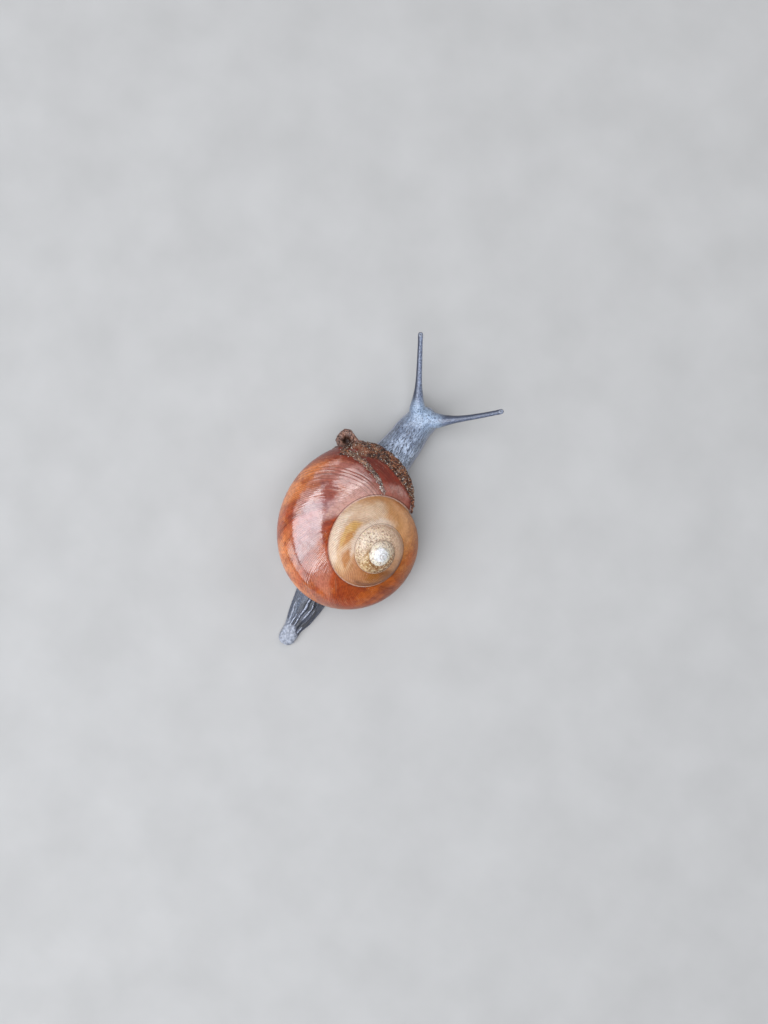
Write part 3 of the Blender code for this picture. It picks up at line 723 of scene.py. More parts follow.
def shell_finish():
    """Wet wine red and chestnut, tan on the upper whorls, white where the apex is worn."""
    f = Finish("wet_ribbed_shell")
    turn, drop, rib, rest = map(f.attribute, SHELL_LAYERS)
    here = f.place()
    streak = f.cloud(f.flat(rib * 0.16, drop * 5), 1.0, 4.0, 0.6)
    fine_streak = f.cloud(f.flat(rib * 1.1, drop * 16), 1.0, 2.0, 0.6)
    patch = f.cloud(here, 190.0, 3.0, 0.55)
    stain = f.cloud(here, 300.0, 5.0, 0.68)
    blotch = f.cloud(here, 800.0, 4.0, 0.65)
    gritty = f.cloud(here, 2300.0, 4.0, 0.7)
    newer = turn.between(-0.93, -0.83)
    older = 1 - turn.between(-2.05, -1.75)
    # wine streaks and orange patches on the last whorl, and an orange glow painted where it turns under
    wine = streak.between(0.42, 0.62) * newer * (turn.between(-0.42, -0.32) * 0.3 + 0.22)
    mottle = patch.between(0.48, 0.58) * (1 - turn.between(-0.16, -0.05))
    # painted glow: bright orange along the last whorl's edge, where it turns under
    edge = drop.between(0.12, 0.22) * turn.between(-0.70, -0.40) * (1 - turn.between(-0.10, -0.03))
    edge = edge * (1 - turn.within(-0.205, -0.170, 0.03) * 0.8)
    freckle = f.cloud(here, 420.0, 3.0, 0.6).between(0.38, 0.54) * 0.6 + 0.38
    brown = patch.between(0.50, 0.58) * turn.within(-1.75, -1.42, 0.04)
    # the oldest whorls: gritty, then bleached
    spread = f.distance(here, BLEACHED_SPOT) + (blotch - 0.5) * BLEACHED_RAGGED
    bleached = 1 - spread.between(BLEACHED_RADIUS - BLEACHED_SOFT, BLEACHED_RADIUS + BLEACHED_SOFT)
    chalk = f.blend(blotch.between(0.38, 0.60), (0.60, 0.57, 0.55), (0.86, 0.85, 0.85))
    seam = (1 - drop.between(0.0015, 0.0035)) * turn.between(-2.6, -2.1)
    # painted shade: a thin dark line in the crease of the older whorls' suture
    suture_shade = drop.within(0.0038, 0.0052, 0.0018) * turn.between(-2.5, -1.95)
    dust = 1 - f.cells(here, 1300.0).between(0.05, 0.15)
    age = (turn + (patch - 0.5) * 0.22 - COLOR_START) / COLOR_SPAN
    base = f.covered(
        age.ramp(*SHELL_RAMP),
        (wine, (0.13, 0.012, 0.006)),
        (stain.between(0.52, 0.60) * newer * 0.28, (0.26, 0.030, 0.012)),
        (mottle * newer * 0.6, (0.56, 0.135, 0.018)),
        (edge * freckle, (0.80, 0.27, 0.085)),
        (brown * 0.65, (0.34, 0.12, 0.018)),
        *local_tints_and_shade(turn, drop, patch, blotch),
        (fine_streak.between(0.52, 0.74) * 0.22, (0.62, 0.32, 0.16)),
        (gritty.between(0.50, 0.60) * older * 0.68, (0.84, 0.70, 0.46)),
        ((1 - gritty.between(0.40, 0.49)) * older * 0.74, (0.20, 0.095, 0.032)),
        (bleached, chalk),
        (seam * 0.65, (0.68, 0.52, 0.41)),
        (suture_shade * 0.6, (0.09, 0.028, 0.015)),
        (rest * 0.8, (0.06, 0.010, 0.006)),
        (dust * patch.between(0.46, 0.56) * 0.5, (0.74, 0.62, 0.52)))
    # ribs, shaded and raised, and combed more deeply in two places
    wave = ((rib + (patch - 0.5) * 1.6) * WHORL).sine() * 0.5 + 0.5
    ribbed = (streak.between(0.35, 0.60) * 0.7 + 0.3) * (1 - older * 0.8)
    shade = wave ** 2.5 * ribbed * ((1 - newer) * 0.16 + 0.48)
    base = f.blend(shade, base, (0.50, 0.40, 0.38), "MULTIPLY")
    peppered = f.cloud(here, 1500.0, 3.0, 0.65).between(0.44, 0.60)
    base = f.blend(peppered * (newer * 0.20 + 0.22), base, (0.52, 0.42, 0.38), "MULTIPLY")
    hatched = turn.within(-0.47, -0.34, 0.03) * newer
    combed = turn.within(-0.27, -0.14, 0.02) * drop.within(0.12, 0.22, 0.02)
    depth = ribbed * (hatched * 0.060 + combed * 0.090 + 0.036)
    relief = (1 - wave ** 5.0) * depth + fine_streak * 0.014 + gritty * (older * 0.11 + 0.008)
    return f.set(
        Base_Color=base, Normal=f.bump(relief, 1 * MM),
        Roughness=0.24 + blotch * 0.16 + older * 0.12 + bleached * 0.15,
        Specular_IOR_Level=0.15, Coat_IOR=2.2, Coat_Roughness=0.12,
        Coat_Weight=water_film(turn, drop, stain, newer, older),
        Subsurface_Weight=0.05, Subsurface_Scale=1 * MM, Subsurface_Radius=(1.0, 0.25, 0.08))


# ---------------------------------------------------------------- crusted lip

def rim_width(angle):
    """How far the crust reaches back from the lip, as a turn angle."""
    reach = 1 - math.exp(-((SUTURE - angle) / (18 * DEG)) ** 2)
    under = mix(0.6, 1.0, smoothstep(2 * DEG, 24 * DEG, angle))
    by_lobe = RIM_BY_LOBE * smoothstep(60 * DEG, 42 * DEG, angle) * smoothstep(14 * DEG, 34 * DEG, angle)
    ragged = soft_noise(angle * 6, 3, 0) + 0.6 * soft_noise(angle * 19, 7, 0)
    return max(RIM_REACH * reach * under + by_lobe + 1.8 * DEG * ragged * reach, RIM_LEAST)


def rim_solid():
    """The closed band of the lip: crust outside, a rounded edge, and a smooth wall inside."""
    wall = 0.9 * MM
    inner_reach = 26 * DEG
    edge_bulge = 1.2 * DEG
    sunk, raised, folded = 0.35 * MM, 0.22 * MM, 0.19 * MM

    def place(s, t):
        angle = mix(SUTURE - SEAM_LAP, RIM_END, s)
        width = rim_width(angle)
        around = t * 4
        thin = smoothstep(98 * DEG, 76 * DEG, angle)
        crown = raised * mix(0.2, 1.0, thin)
        if around < 1:
            turn = LIP_TURN - width * (1 - around)
            fold = 2.4 * around + 1.1 * soft_noise(angle * 4.5, 2, 0)
            lift = crown + folded * math.cos(WHORL * fold) * thin * math.sin(math.pi * around)
            depth = mix(sunk, -lift, smoothstep(0, 0.16, around))
        elif around < 2:
            turn = LIP_TURN + edge_bulge * math.sin(math.pi * (around - 1))
            depth = mix(-crown, wall, around - 1)
        elif around < 3:
            turn = LIP_TURN - inner_reach * (around - 2)
            depth = wall
        else:
            turn = mix(LIP_TURN - inner_reach, LIP_TURN - width, around - 3)
            depth = mix(wall, sunk, around - 3)
        return (whorl_point(turn, angle, depth),)

    return close_up(bent_grid(across=220, along=56, place=place))


def lobe_folds():
    """The flap thrown up at the left front: thick curled folds round a hollow."""
    bm = bmesh.new()
    for rows in LOBE_FOLDS:
        table = numbered(rows)
        join_into(bm, tube(rope_curve(table), rope_radius(table), tip=0.4 * MM, sides=14, steps=60))
    turn = Matrix.Rotation(LOBE_TURN, 4, "Z")
    place = Matrix.Translation(LOBE_BED) @ turn
    bed = Matrix.Diagonal((*LOBE_HALF * 0.8, 1)) @ Matrix.Scale(0.55, 4, (0, 0, 1))
    bmesh.ops.create_icosphere(bm, subdivisions=4, radius=1, matrix=place @ bed)
    return bm


def crust_relief(point):
    """Height of the caked crust: folds, lumps and crumbs."""
    folds = 0.34 * rippled(point, 2.0 * MM, 1)
    lumps = 0.30 * rippled(point, 0.8 * MM, 4)
    crumbs = 0.26 * abs(rippled(point, 0.42 * MM, 8)) + 0.10 * rippled(point, 0.26 * MM, 9)
    pits = -0.6 * max(rippled(point, 0.9 * MM, 12) - 0.18, 0)
    return (folds + lumps + crumbs + pits - 0.06) * CRUST_HEIGHT


def lip_crust():
    """The present lip and its lobe in one crust, with the trough sunk into the lobe."""
    bm = rim_solid()
    join_into(bm, lobe_folds())
    bm = fused(bm, CRUST_GRAIN, rounds=3)
    layers = layers_on(bm, CRUST_LAYERS)
    for vert in bm.verts:
        inside = inner_side(vert.co)
        dusty = smoothstep(*DUST_REACH, (vert.co - LOBE_HOLLOW).length / MM)
        aside, share = beside_trough(vert.co.xy)
        # painted shade: darkest in the lobe's hollow
        hollow = smoothstep(*HOLLOW_ASIDE, aside) * smoothstep(*HOLLOW_ALONG, share)
        trough = smoothstep(mix(*TROUGH_EDGE, share), mix(*TROUGH_FLOOR, share), aside)
        trough *= smoothstep(0.05, 0.4, vert.normal.z) * (1 - inside)
        mark(vert, layers, (inside, dusty, hollow, trough))
        height = crust_relief(vert.co) * (1 - 0.8 * inside) * (1 - 0.6 * trough)
        vert.co += vert.normal * (height - mix(*TROUGH_DEPTH, share) * MM * trough)
    return add_mesh("lip_crust", bm)


def beside_trough(point):
    """How far a point, seen from above, lies from the lobe's trough, in mm, and its share along it."""
    start, end = LOBE_TROUGH
    line = end - start
    share = min(max((point - start).dot(line) / line.dot(line), 0), 1)
    return (point - start - line * share).length / MM, share


def inner_side(point):
    """1 on the smooth wall inside the mouth, 0 on the crust outside."""
    local = POSE.inverted() @ point
    turn = math.atan2(-local.y, local.x)
    radius = MOUTH_RADIUS * TURN_RATIO ** (turn / WHORL)
    distance = angle_on_section(math.hypot(local.x, local.y) / radius, local.z / radius)[1]
    return smoothstep(*INNER_WALL, distance)


def old_lip_back(angle):
    """Where the former lip's crust lies, behind the present lip."""
    return OLD_LIP_BACK - OLD_LIP_CLOSING * (OLD_LIP_TOP - angle)


def old_crust():
    """The gritty crust left along the former lip."""
    high, low = 99 * DEG, 31 * DEG
    high_width, low_width = 4.4, 7.0  # degrees of turn
    edge_sink = 0.06 * MM

    def place(s, t):
        angle = mix(high, low, s)
        ends = smoothstep(0, 0.05, s) * smoothstep(1, 0.9, s)
        ragged = soft_noise(s * 12, 1, 0) + 0.6 * soft_noise(s * 31, 4, 0)
        width = mix(high_width, low_width, s) * DEG * (0.85 + 0.55 * ragged)
        middle = LIP_TURN - old_lip_back(angle) + 0.8 * DEG * soft_noise(s * 8, 7, 0)
        turn = middle + width * (t - 0.5)
        crown = math.sin(math.pi * t) ** 0.6
        point = whorl_point(turn, angle)
        lump = 0.6 + 1.1 * rippled(point, 0.8 * MM, 3) + 0.8 * rippled(point, 0.35 * MM, 6)
        height = OLD_CRUST_HEIGHT * crown * ends * max(lump, 0.1) - edge_sink
        return whorl_point(turn, angle, -height), crown * ends, s

    bm = bent_grid(across=260, along=26, place=place, layer_names=OLD_CRUST_LAYERS)
    bmesh.ops.recalc_face_normals(bm, faces=bm.faces)
    return add_mesh("former_lip_crust", bm)


def grit():
    """Grains of sand caught in both crusts."""
    dice = random.Random(7)
    bm = bmesh.new()
    tone, = layers_on(bm, ["tone"])
    spots = []
    # on the former lip
    for _ in range(OLD_GRAINS):
        angle = mix(*OLD_GRAIN_ANGLES, dice.random() ** 0.8) * DEG
        turn = LIP_TURN - old_lip_back(angle) + dice.gauss(0, 1.5) * DEG
        size = dice.uniform(*OLD_GRAIN_SIZES)
        high = smoothstep(88 * DEG, 70 * DEG, angle)
        shade = dice.random() ** mix(0.5, 1.0, high) * mix(1.0, 0.75, high)
        spots.append((whorl_point(turn, angle, -OLD_GRAIN_RISE), size, shade))
    # on the present one
    for _ in range(NEW_GRAINS):
        angle = mix(*NEW_GRAIN_ANGLES, dice.random()) * DEG
        share = dice.random()
        turn = LIP_TURN - rim_width(angle) * share * 0.95
        shade = dice.random() ** 1.1 * 0.9
        size = dice.uniform(*NEW_GRAIN_SIZES)
        spots.append((whorl_point(turn, angle, -NEW_GRAIN_RISE), size, shade))
    for point, size, shade in spots:
        axis = Vector((dice.gauss(0, 1), dice.gauss(0, 1), dice.gauss(0, 1)))
        spin = Matrix.Rotation(dice.uniform(0, WHORL), 4, axis)
        form = Matrix.Diagonal((size, size * dice.uniform(0.55, 0.95), size * dice.uniform(0.45, 0.8), 1))
        place = Matrix.Translation(point) @ spin @ form @ Matrix.Scale(MM, 4)
        made = bmesh.ops.create_icosphere(bm, subdivisions=1, radius=1, matrix=place)
        for vert in made["verts"]:
            vert[tone] = shade
            vert.co += (vert.co - point) * dice.uniform(-0.22, 0.22)
    return add_mesh("caught_grit", bm, smooth=False)


def crust_finish():
    f = Finish("caked_brown_crust")
    here = f.place()
    inside, dusty, hollow, trough = map(f.attribute, CRUST_LAYERS)
    coarse = f.cloud(here, 600.0, 5.0, 0.65)
    fine = f.cloud(here, 2400.0, 4.0, 0.75)
    color = (coarse * 0.45 + fine * 0.55).ramp(
        (0.42, (0.012, 0.0030, 0.0012)),
        (0.48, (0.062, 0.015, 0.006)),
        (0.54, (0.175, 0.050, 0.020)),
        (0.61, (0.42, 0.18, 0.085)),
    )
    crumbs = 1 - f.cells(here, 2100.0).between(0.12, 0.26)
    nacre = f.cloud(here, 500.0).ramp((0.3, (0.30, 0.16, 0.13)), (0.7, (0.55, 0.40, 0.36)))
    color = f.covered(
        color,
        (dusty * fine.between(0.40, 0.56) * 0.65, (0.34, 0.21, 0.17)),
        (trough * (coarse.between(0.35, 0.5) * 0.35 + 0.6), (0.25, 0.095, 0.052)),
        # painted shade in the lobe's hollow
        (hollow * 0.85, (0.045, 0.016, 0.009)),
        (crumbs * fine.between(0.45, 0.56) * 0.85, (0.58, 0.43, 0.31)),
        (inside, nacre))
    height = fine * 1.4 + coarse * 0.6 + f.cells(here, 3200.0) * 0.9
    return f.set(
        Base_Color=color, Roughness=0.52 - 0.2 * coarse - inside * 0.15,
        Normal=f.bump(height, 0.12 * MM),
        Specular_IOR_Level=0.3, Coat_Weight=0.3, Coat_Roughness=0.2, Coat_IOR=1.45)


def old_crust_finish():
    f = Finish("caked_grey_crust")
    here = f.place()
    crown, along = map(f.attribute, OLD_CRUST_LAYERS)
    coarse = f.cloud(here, 900.0, 5.0, 0.7)
    fine = f.cloud(here, 4200.0, 3.0, 0.7)
    color = (coarse * 0.6 + fine * 0.4).ramp(
        (0.38, (0.024, 0.011, 0.009)),
        (0.47, (0.11, 0.055, 0.046)),
        (0.53, (0.32, 0.21, 0.19)),
        (0.62, (0.66, 0.56, 0.51)),
    )
    earthy = (coarse * 0.5 + fine * 0.5).ramp(
        (0.40, (0.022, 0.006, 0.003)),
        (0.50, (0.12, 0.036, 0.018)),
        (0.60, (0.38, 0.18, 0.095)),
    )
    color = f.covered(
        color,
        (along.between(0.10, 0.45), earthy),
        ((1 - crown.between(0.1, 0.5)) * 0.8, (0.13, 0.026, 0.014)))
    height = fine * 1.3 + f.cells(here, 3600.0) * 0.8
    return f.set(
        Base_Color=color, Roughness=0.45, Normal=f.bump(height, 0.10 * MM),
        Coat_Weight=0.6, Coat_Roughness=0.12, Coat_IOR=1.5)


def grit_finish():
    f = Finish("wet_sand_grains")
    tone = f.attribute("tone")
    color = tone.ramp(
        (0.0, (0.05, 0.035, 0.03)),
        (0.25, (0.16, 0.095, 0.06)),
        (0.5, (0.40, 0.27, 0.15)),
        (0.72, (0.42, 0.40, 0.37)),
        (1.0, (0.80, 0.77, 0.70)),
    )
    speck = f.cloud(f.place(), 9000.0, 2.0)
    color = f.blend(speck.between(0.5, 0.7) * 0.4, color, (0.10, 0.07, 0.05))
    return f.set(
        Base_Color=color, Roughness=0.35, Normal=f.bump(speck, 0.02 * MM, 0.5),
        Coat_Weight=0.7, Coat_Roughness=0.08)


# ---------------------------------------------------------------- skin

def numbered(rows):
    """Rows with their numbers in front, as a table to read by place along it."""
    return [(number, *row) for number, row in enumerate(rows)]


def smooth_between(table, place):
    """Reads a table sorted by its first column with a smooth curve through its rows."""
    rising = 1 if table[-1][0] > table[0][0] else -1
    last = len(table) - 2
    k = next((i for i in range(last) if (place - table[i + 1][0]) * rising <= 0), last)
    before, start, end, after = (table[min(max(j, 0), last + 1)] for j in (k - 1, k, k + 1, k + 2))
    span = end[0] - start[0]
    share = (place - start[0]) / span
    ease = share * share * (3 - 2 * share)
    values = []
    for c in range(1, len(start)):
        leave = (end[c] - before[c]) / (end[0] - before[0]) * span
        arrive = (after[c] - start[c]) / (after[0] - start[0]) * span
        bow = share * (1 - share) * ((1 - share) * leave - share * arrive)
        values.append(start[c] + (end[c] - start[c]) * ease + bow)
    return values


def body_solid():
    """Foot, tail, neck and head as one closed form."""
    first, last = BODY[0][0], BODY[-1][0]
    outline = numbered(OUTLINE)
    crest = len(OUTLINE) - 1

    def place(s, t):
        eased = (1 - math.cos(math.pi * t)) / 2
        y = mix(first, last, t + RINGS_TO_ENDS * (eased - t))
        centre, half, top, under = smooth_between(BODY, y)
        side = 1 if s < 0.5 else -1
        across, up = smooth_between(outline, crest * (1 - abs(1 - 2 * s)))
        return (in_mm(centre + side * half * across, y, under + (top - under) * up),)

    return close_up(bent_grid(across=72, along=190, place=place))


def curve_point(bend, share):
    root, middle, end = (in_mm(*point) for point in bend)
    return root * (1 - share) ** 2 + middle * 2 * share * (1 - share) + end * share ** 2


def path_length(curve, steps):
    """The length of a curve of shares from 0 to 1, measured in steps."""
    points = [curve(k / steps) for k in range(steps + 1)]
    return sum((b - a).length for a, b in zip(points, points[1:]))


def feeler_length(bend):
    return path_length(lambda share: curve_point(bend, share), steps=40)


def tube(curve, radius_at, tip, sides, steps):
    """A closed tube along a curve of shares from 0 to 1, its end rounded off."""
    length = path_length(curve, steps)

    def place(s, t):
        forward = (curve(t + 0.01) - curve(t - 0.01)).normalized()
        side = forward.cross(Vector((0, 0, 1))).normalized()
        up = side.cross(forward)
        last = max(1 - (1 - t) * length / tip, 0)
        radius = radius_at(t) * math.sqrt(max(1 - last ** 2, 0))
        turn = WHORL * s
        return (curve(t) + radius * (side * math.cos(turn) + up * math.sin(turn)),)

    return close_up(bent_grid(across=sides, along=steps, place=place))


def rope_curve(table):
    return lambda t: in_mm(*smooth_between(table, t * table[-1][0])[:3])


def rope_radius(table):
    return lambda t: smooth_between(table, t * table[-1][0])[3] * MM


def feeler(bend, radius_at, tip):
    """A feeler's closed tube, with its round tip reaching past the curve's end."""
    reach = 1 + tip / feeler_length(bend)
    return tube(lambda t: curve_point(bend, t * reach), radius_at, tip=1.6 * tip, sides=20, steps=110)


def upper_radius(bend):
    """The radius of an upper feeler, as a function of the share of its length."""
    length = feeler_length(bend)

    def radius(share):
        flare = math.exp(-((share * length / FLARE_REACH) ** 2))
        bulb = math.exp(-(((1 - share) * length / BULB_REACH) ** 2))
        return (UPPER_TIP + UPPER_TAPER * (1 - share) + FLARE * flare + BULB * bulb) * MM

    return radius


def lower_radius(share):
    return (LOWER_TIP + LOWER_TAPER * (1 - share) ** 2) * MM


def collar_solid():
    """The mantle's thick edge, which fills the shell's mouth behind the lip."""
    first_angle, last_angle = SUTURE + 1 * DEG, -132 * DEG
    back, front = LIP_TURN - 34 * DEG, LIP_TURN - 5 * DEG
    outer, inner = 0.6 * MM, 4.2 * MM

    def place(s, t):
        angle = mix(first_angle, last_angle, s)
        around = 4 * t
        if around < 1:
            turn, depth = mix(back, front, around), outer
        elif around < 2:
            turn, depth = front + 1.5 * DEG * math.sin(math.pi * around), mix(outer, inner, around - 1)
        elif around < 3:
            turn, depth = mix(front, back, around - 2), inner
        else:
            turn, depth = back, mix(inner, outer, around - 3)
        return (whorl_point(turn, angle, depth),)

    return close_up(bent_grid(across=60, along=40, place=place))


def mouth_solid():
    bm = bmesh.new()
    place = Matrix.Translation(MOUTH_CENTRE) @ Matrix.Diagonal((*MOUTH_HALF, 1))
    bmesh.ops.create_uvsphere(bm, u_segments=24, v_segments=16, radius=1, matrix=place)
    return bm


def nearest_on_feelers(point):
    """The closest place on an upper feeler: distance, share of its length, and its curve."""
    best = (math.inf, 0.0, None)
    steps = 30
    for bend in UPPER_FEELERS.values():
        for k in range(steps + 1):
            share = k / steps
            distance = (curve_point(bend, share) - point).length
            if distance < best[0]:
                best = (distance, share, bend)
    return best


def tubercles(point, across, along, seed):
    """Raised cells with narrow grooves between them: 0 in a groove, 1 on a cell."""
    where = Vector((point.x / across, point.y / along, point.z / across)) + Vector((seed, 0, seed))
    near, _ = noise.voronoi(where)
    return smoothstep(0.02, 0.42, near[1] - near[0])


def keels(point, side):
    """Lengthwise ridges of the tail, wavering and broken: 0 between them, 1 on top."""
    waver = 0.16 * rippled(point, 3.2 * MM, 31) + 0.05 * rippled(point, 1.1 * MM, 33)
    crest = 0.5 + 0.5 * math.cos(WHORL * (side + waver) / KEEL_SPACING)
    along = Vector((point.x / 2.2, point.y / 5.0, point.z)) / MM
    broken = smoothstep(-0.35, 0.1, noise.noise(along + Vector((7, 0, 7))))
    return crest ** 2.2 * mix(0.35, 1.0, broken)


def skin_relief(point):
    """Height of the skin over the plain body, with what its colours follow."""
    y = point.y / MM
    centre, half, top, under = smooth_between(BODY, min(max(y, BODY[-1][0]), BODY[0][0]))
    rise = (point.z / MM - under) / max(top - under, 0.5)
    side = (point.x / MM - centre) / half
    stalk, ring = 0.0, 0.0
    if y < FEELERS_FROM:
        distance, share, bend = nearest_on_feelers(point)
        stalk = smoothstep(*TO_FEELER, share) * smoothstep(*FEELER_REACH, distance)
        # painted highlight: a pale ring round the eye
        off = (point - eye_centre(bend)).length / MM
        ring = math.exp(-((off - EYE_HALF / MM - GLINT_GAP) / GLINT_SPREAD) ** 2)
    tail = smoothstep(*TO_TAIL, y)
    edge = y - 2.6 * max(-side - 0.1, 0) + 0.6 * rippled(point, 1.5 * MM, 2)
    pad = smoothstep(*TO_TAIL_END, edge)
    head = smoothstep(*TO_HEAD, y)
    foot = smoothstep(*TO_FOOT, rise)
    bent = point + Vector((0.5 * MM * rippled(point, 3.0 * MM, 5), 0, 0))
    rows = tubercles(bent, across=0.62 * MM, along=2.4 * MM, seed=11)
    keel = keels(point, side)
    fringe = 0.5 + 0.5 * math.sin(WHORL * (y + 0.6 * rippled(point, 2 * MM, 9)) / FRINGE_SPACING)
    cover = mix(mix(rows, keel, tail), mix(0.8, fringe, 0.4), foot)
    depth = mix(mix(NECK_CELLS, TAIL_KEELS, tail), HEAD_CELLS, head)
    depth = mix(depth, FOOT_FRINGE, foot) * (1 - stalk) * (1 - pad)
    depth *= smoothstep(0.02, 0.10, rise)
    wrinkle = WRINKLES * rippled(point, 2.2 * MM, 14) * (1 - stalk) * smoothstep(0.05, 0.3, rise)
    height = (cover - 1) * depth + wrinkle
    if pad > 0:
        lumps = rippled(point, 0.9 * MM, 41) + 0.5 * rippled(point, 0.5 * MM, 43)
        height += TAIL_LUMPS * lumps * pad * smoothstep(0.15, 0.5, rise)
    height *= smoothstep(*TO_TIP, y)
    return height * MM, cover, stalk, pad, tail, head, foot, ring


def is_webbing(place):
    """Whether a place, in mm, is on top of the head, where the upper feelers grow out of it."""
    return all(low < number < high for number, (low, high) in zip(place, WEBBING))


def snail_skin():
    """One skin for foot, tail, neck, head, feelers and mantle edge."""
    bm = body_solid()
    for bend in UPPER_FEELERS.values():
        join_into(bm, feeler(bend, upper_radius(bend), tip=0.47 * MM))
    for bend in LOWER_FEELERS.values():
        join_into(bm, feeler(bend, lower_radius, tip=0.4 * MM))
    join_into(bm, mouth_solid())
    join_into(bm, collar_solid())
    bm = fused(bm, SKIN_GRAIN, rounds=5)
    webbing = [vert for vert in bm.verts if is_webbing(vert.co / MM)]
    for _ in range(WEBBING_ROUNDS):
        bmesh.ops.smooth_vert(
            bm, verts=webbing, factor=0.5, use_axis_x=True, use_axis_y=True, use_axis_z=True)
    bm.normal_update()
    layers = layers_on(bm, SKIN_LAYERS)
    for vert in bm.verts:
        height, *values = skin_relief(vert.co)
        # for painted shading: highest where the skin faces up and towards the animal's right, the lit
        # side
        crest = vert.normal.z - 0.7 * vert.normal.x
        mark(vert, layers, (crest, *values))
        vert.co += vert.normal * height
        vert.co.z = max(vert.co.z, 0)
    return add_mesh("snail_skin", bm)


def skin_finish():
    """Slate blue with dark grooves, paler along the back where the flanks get painted shade, paler on the
    head and the tail's end, and moist; painted shade and a painted highlight on the feelers, and a
    painted highlight ringing each eye.
    """
    f = Finish("moist_slate_skin")
    here = f.place()
    crest, cell, stalk, pad, tail, head, foot, ring = map(f.attribute, SKIN_LAYERS)
    bent = f.node("ShaderNodeVectorMath", {"operation": "MULTIPLY_ADD"}, {
        0: f.node("ShaderNodeTexNoise", {}, {"Vector": here, "Scale": 900.0})["Color"],
        1: in_mm(0.7, 0.7, 0.7), 2: here})["Vector"]
    patch = f.cloud(here, 320.0, 3.0)
    grain = f.cloud(here, 2600.0, 3.0, 0.6)
    net = 1 - f.cells(f.stretched(bent, (1.2, 0.34, 1.2)), 4000.0).between(0.44, 0.86)
    small_net = 1 - f.cells(bent, 3600.0).between(0.35, 0.90)
    body = f.blend(patch.between(0.35, 0.65), (0.30, 0.360, 0.485), (0.39, 0.465, 0.61))
    spot = f.node("ShaderNodeSeparateXYZ", {}, {"Vector": here})
    by_shell = spot["Y"].between(*NECK_TO_PALE)
    # painted shade: darker down the flanks, most on the animal's left
    shaded_flank = 1 - crest.between(0.10, 0.85)
    body = f.covered(
        body,
        (by_shell * 0.75, (0.66, 0.76, 0.95)),
        (head * 0.85, (0.39, 0.51, 0.68)),
        (shaded_flank * 0.50 * (1 - foot), (0.13, 0.155, 0.225)))
    groove = f.blend(head * 0.8, (0.030, 0.038, 0.066), (0.10, 0.135, 0.21))
    fine = net * (1 - head) + small_net * head
    long_lines = f.cloud(f.stretched(here, (1.0, 0.13, 1.0)), 2300.0, 2.0).between(0.42, 0.54)
    rows = long_lines * 0.45 + 0.55 + head * 0.45
    neck = f.blend((fine * (0.74 + cell * 0.26) * rows).clamped(), groove, body)
    slate = f.blend(patch.between(0.4, 0.6), (0.022, 0.025, 0.036), (0.062, 0.070, 0.102))
    left_half = spot["X"].between(*TAIL_TO_LEFT)
    speckled = f.blend(grain.between(0.42, 0.60), (0.06, 0.070, 0.100), (0.19, 0.225, 0.30))
    slate = f.blend(left_half * 0.8, slate, speckled)
    pale = f.blend(grain.between(0.38, 0.58), (0.16, 0.18, 0.24), (0.50, 0.54, 0.65))
    rear = f.blend(cell.between(0.40, 0.78) * net.between(0.0, 0.6), slate, pale)
    margin = f.blend(tail, (0.42, 0.43, 0.54), (0.055, 0.062, 0.090))
    # feeler colour with painted shade down the sides and a painted highlight along the top; the spots are
    # its own
    stalk_color_and_shading = crest.ramp(
        (0.00, (0.020, 0.024, 0.042)),
        (0.45, (0.032, 0.039, 0.068)),
        (0.80, (0.12, 0.145, 0.225)),
        (0.98, (0.26, 0.305, 0.43)),
    )
    spots = f.cloud(here, 3200.0, 2.0, 0.6).between(0.42, 0.54)
    stalk_color_and_shading = f.blend(spots * 0.75, stalk_color_and_shading, (0.035, 0.044, 0.078))
    lumps = f.cloud(here, 1600.0, 3.0, 0.6)
    pad_color = f.blend(lumps.between(0.34, 0.66), (0.17, 0.185, 0.23), (0.42, 0.45, 0.53))
    color = f.covered(
        neck, (tail, rear), (foot * 0.85, margin), (stalk, stalk_color_and_shading),
        # painted highlight round each eye
        (ring * 0.75, (0.30, 0.32, 0.38)), (pad * 0.92, pad_color))
    granules = f.cells(here, 4200.0) * (0.2 + stalk * 0.6)
    height = fine * (1 - stalk) * (1 - pad) * 1.3 + grain * 0.5 + granules
    return f.set(
        Base_Color=color, Roughness=0.40 - 0.1 * patch, Normal=f.bump(height, 0.06 * MM, 0.8),
        Coat_Weight=0.7 - tail * 0.35, Coat_Roughness=0.13, Coat_IOR=1.5,
        Subsurface_Weight=0.08, Subsurface_Scale=0.4 * MM, Subsurface_Radius=(0.6, 0.7, 1.0))


# ---------------------------------------------------------------- eyes

def eye_centre(bend):
    """The eye lies in the upper side of the feeler's round tip, just behind its end."""
    ahead = (curve_point(bend, 1.0) - curve_point(bend, 0.98)).normalized()
    side = ahead.cross(Vector((0, 0, 1))).normalized()
    return curve_point(bend, 1.0) - ahead * EYE_BACK + side.cross(ahead) * EYE_UP


def eye(side, bend):
    """A black bead."""
    place = Matrix.Translation(eye_centre(bend))
    bm = bmesh.new()
    bmesh.ops.create_uvsphere(bm, u_segments=32, v_segments=20, radius=EYE_HALF, matrix=place)
    return add_mesh(f"{side}_eye_bead", bm)


def eye_finish():
    f = Finish("glossy_dark_eye")
    tint = f.cloud(f.place(), 6000.0, 2.0)
    color = tint.ramp((0.35, (0.006, 0.007, 0.010)), (0.65, (0.030, 0.032, 0.045)))
    return f.set(Base_Color=color, Roughness=0.12 + 0.1 * tint, Coat_Weight=1.0, Coat_Roughness=0.03)


# ---------------------------------------------------------------- stage

FLOOR_HALF = 1500 * MM
CAMERA_TURN = 30.6 * DEG   # from the head's direction to the camera's upper edge
CAMERA_PLACE = in_mm(-5.336, -7.007, 224.4)
SENSOR_HEIGHT = 36         # this and the focal length are in mm
FOCAL_LENGTH = 30.94
CLIP_NEAR = 1 * MM
CLIP_FAR = 20000 * MM
LAMP_AIM = in_mm(0, 0, 12)
LAMP_DISTANCE = 700 * MM
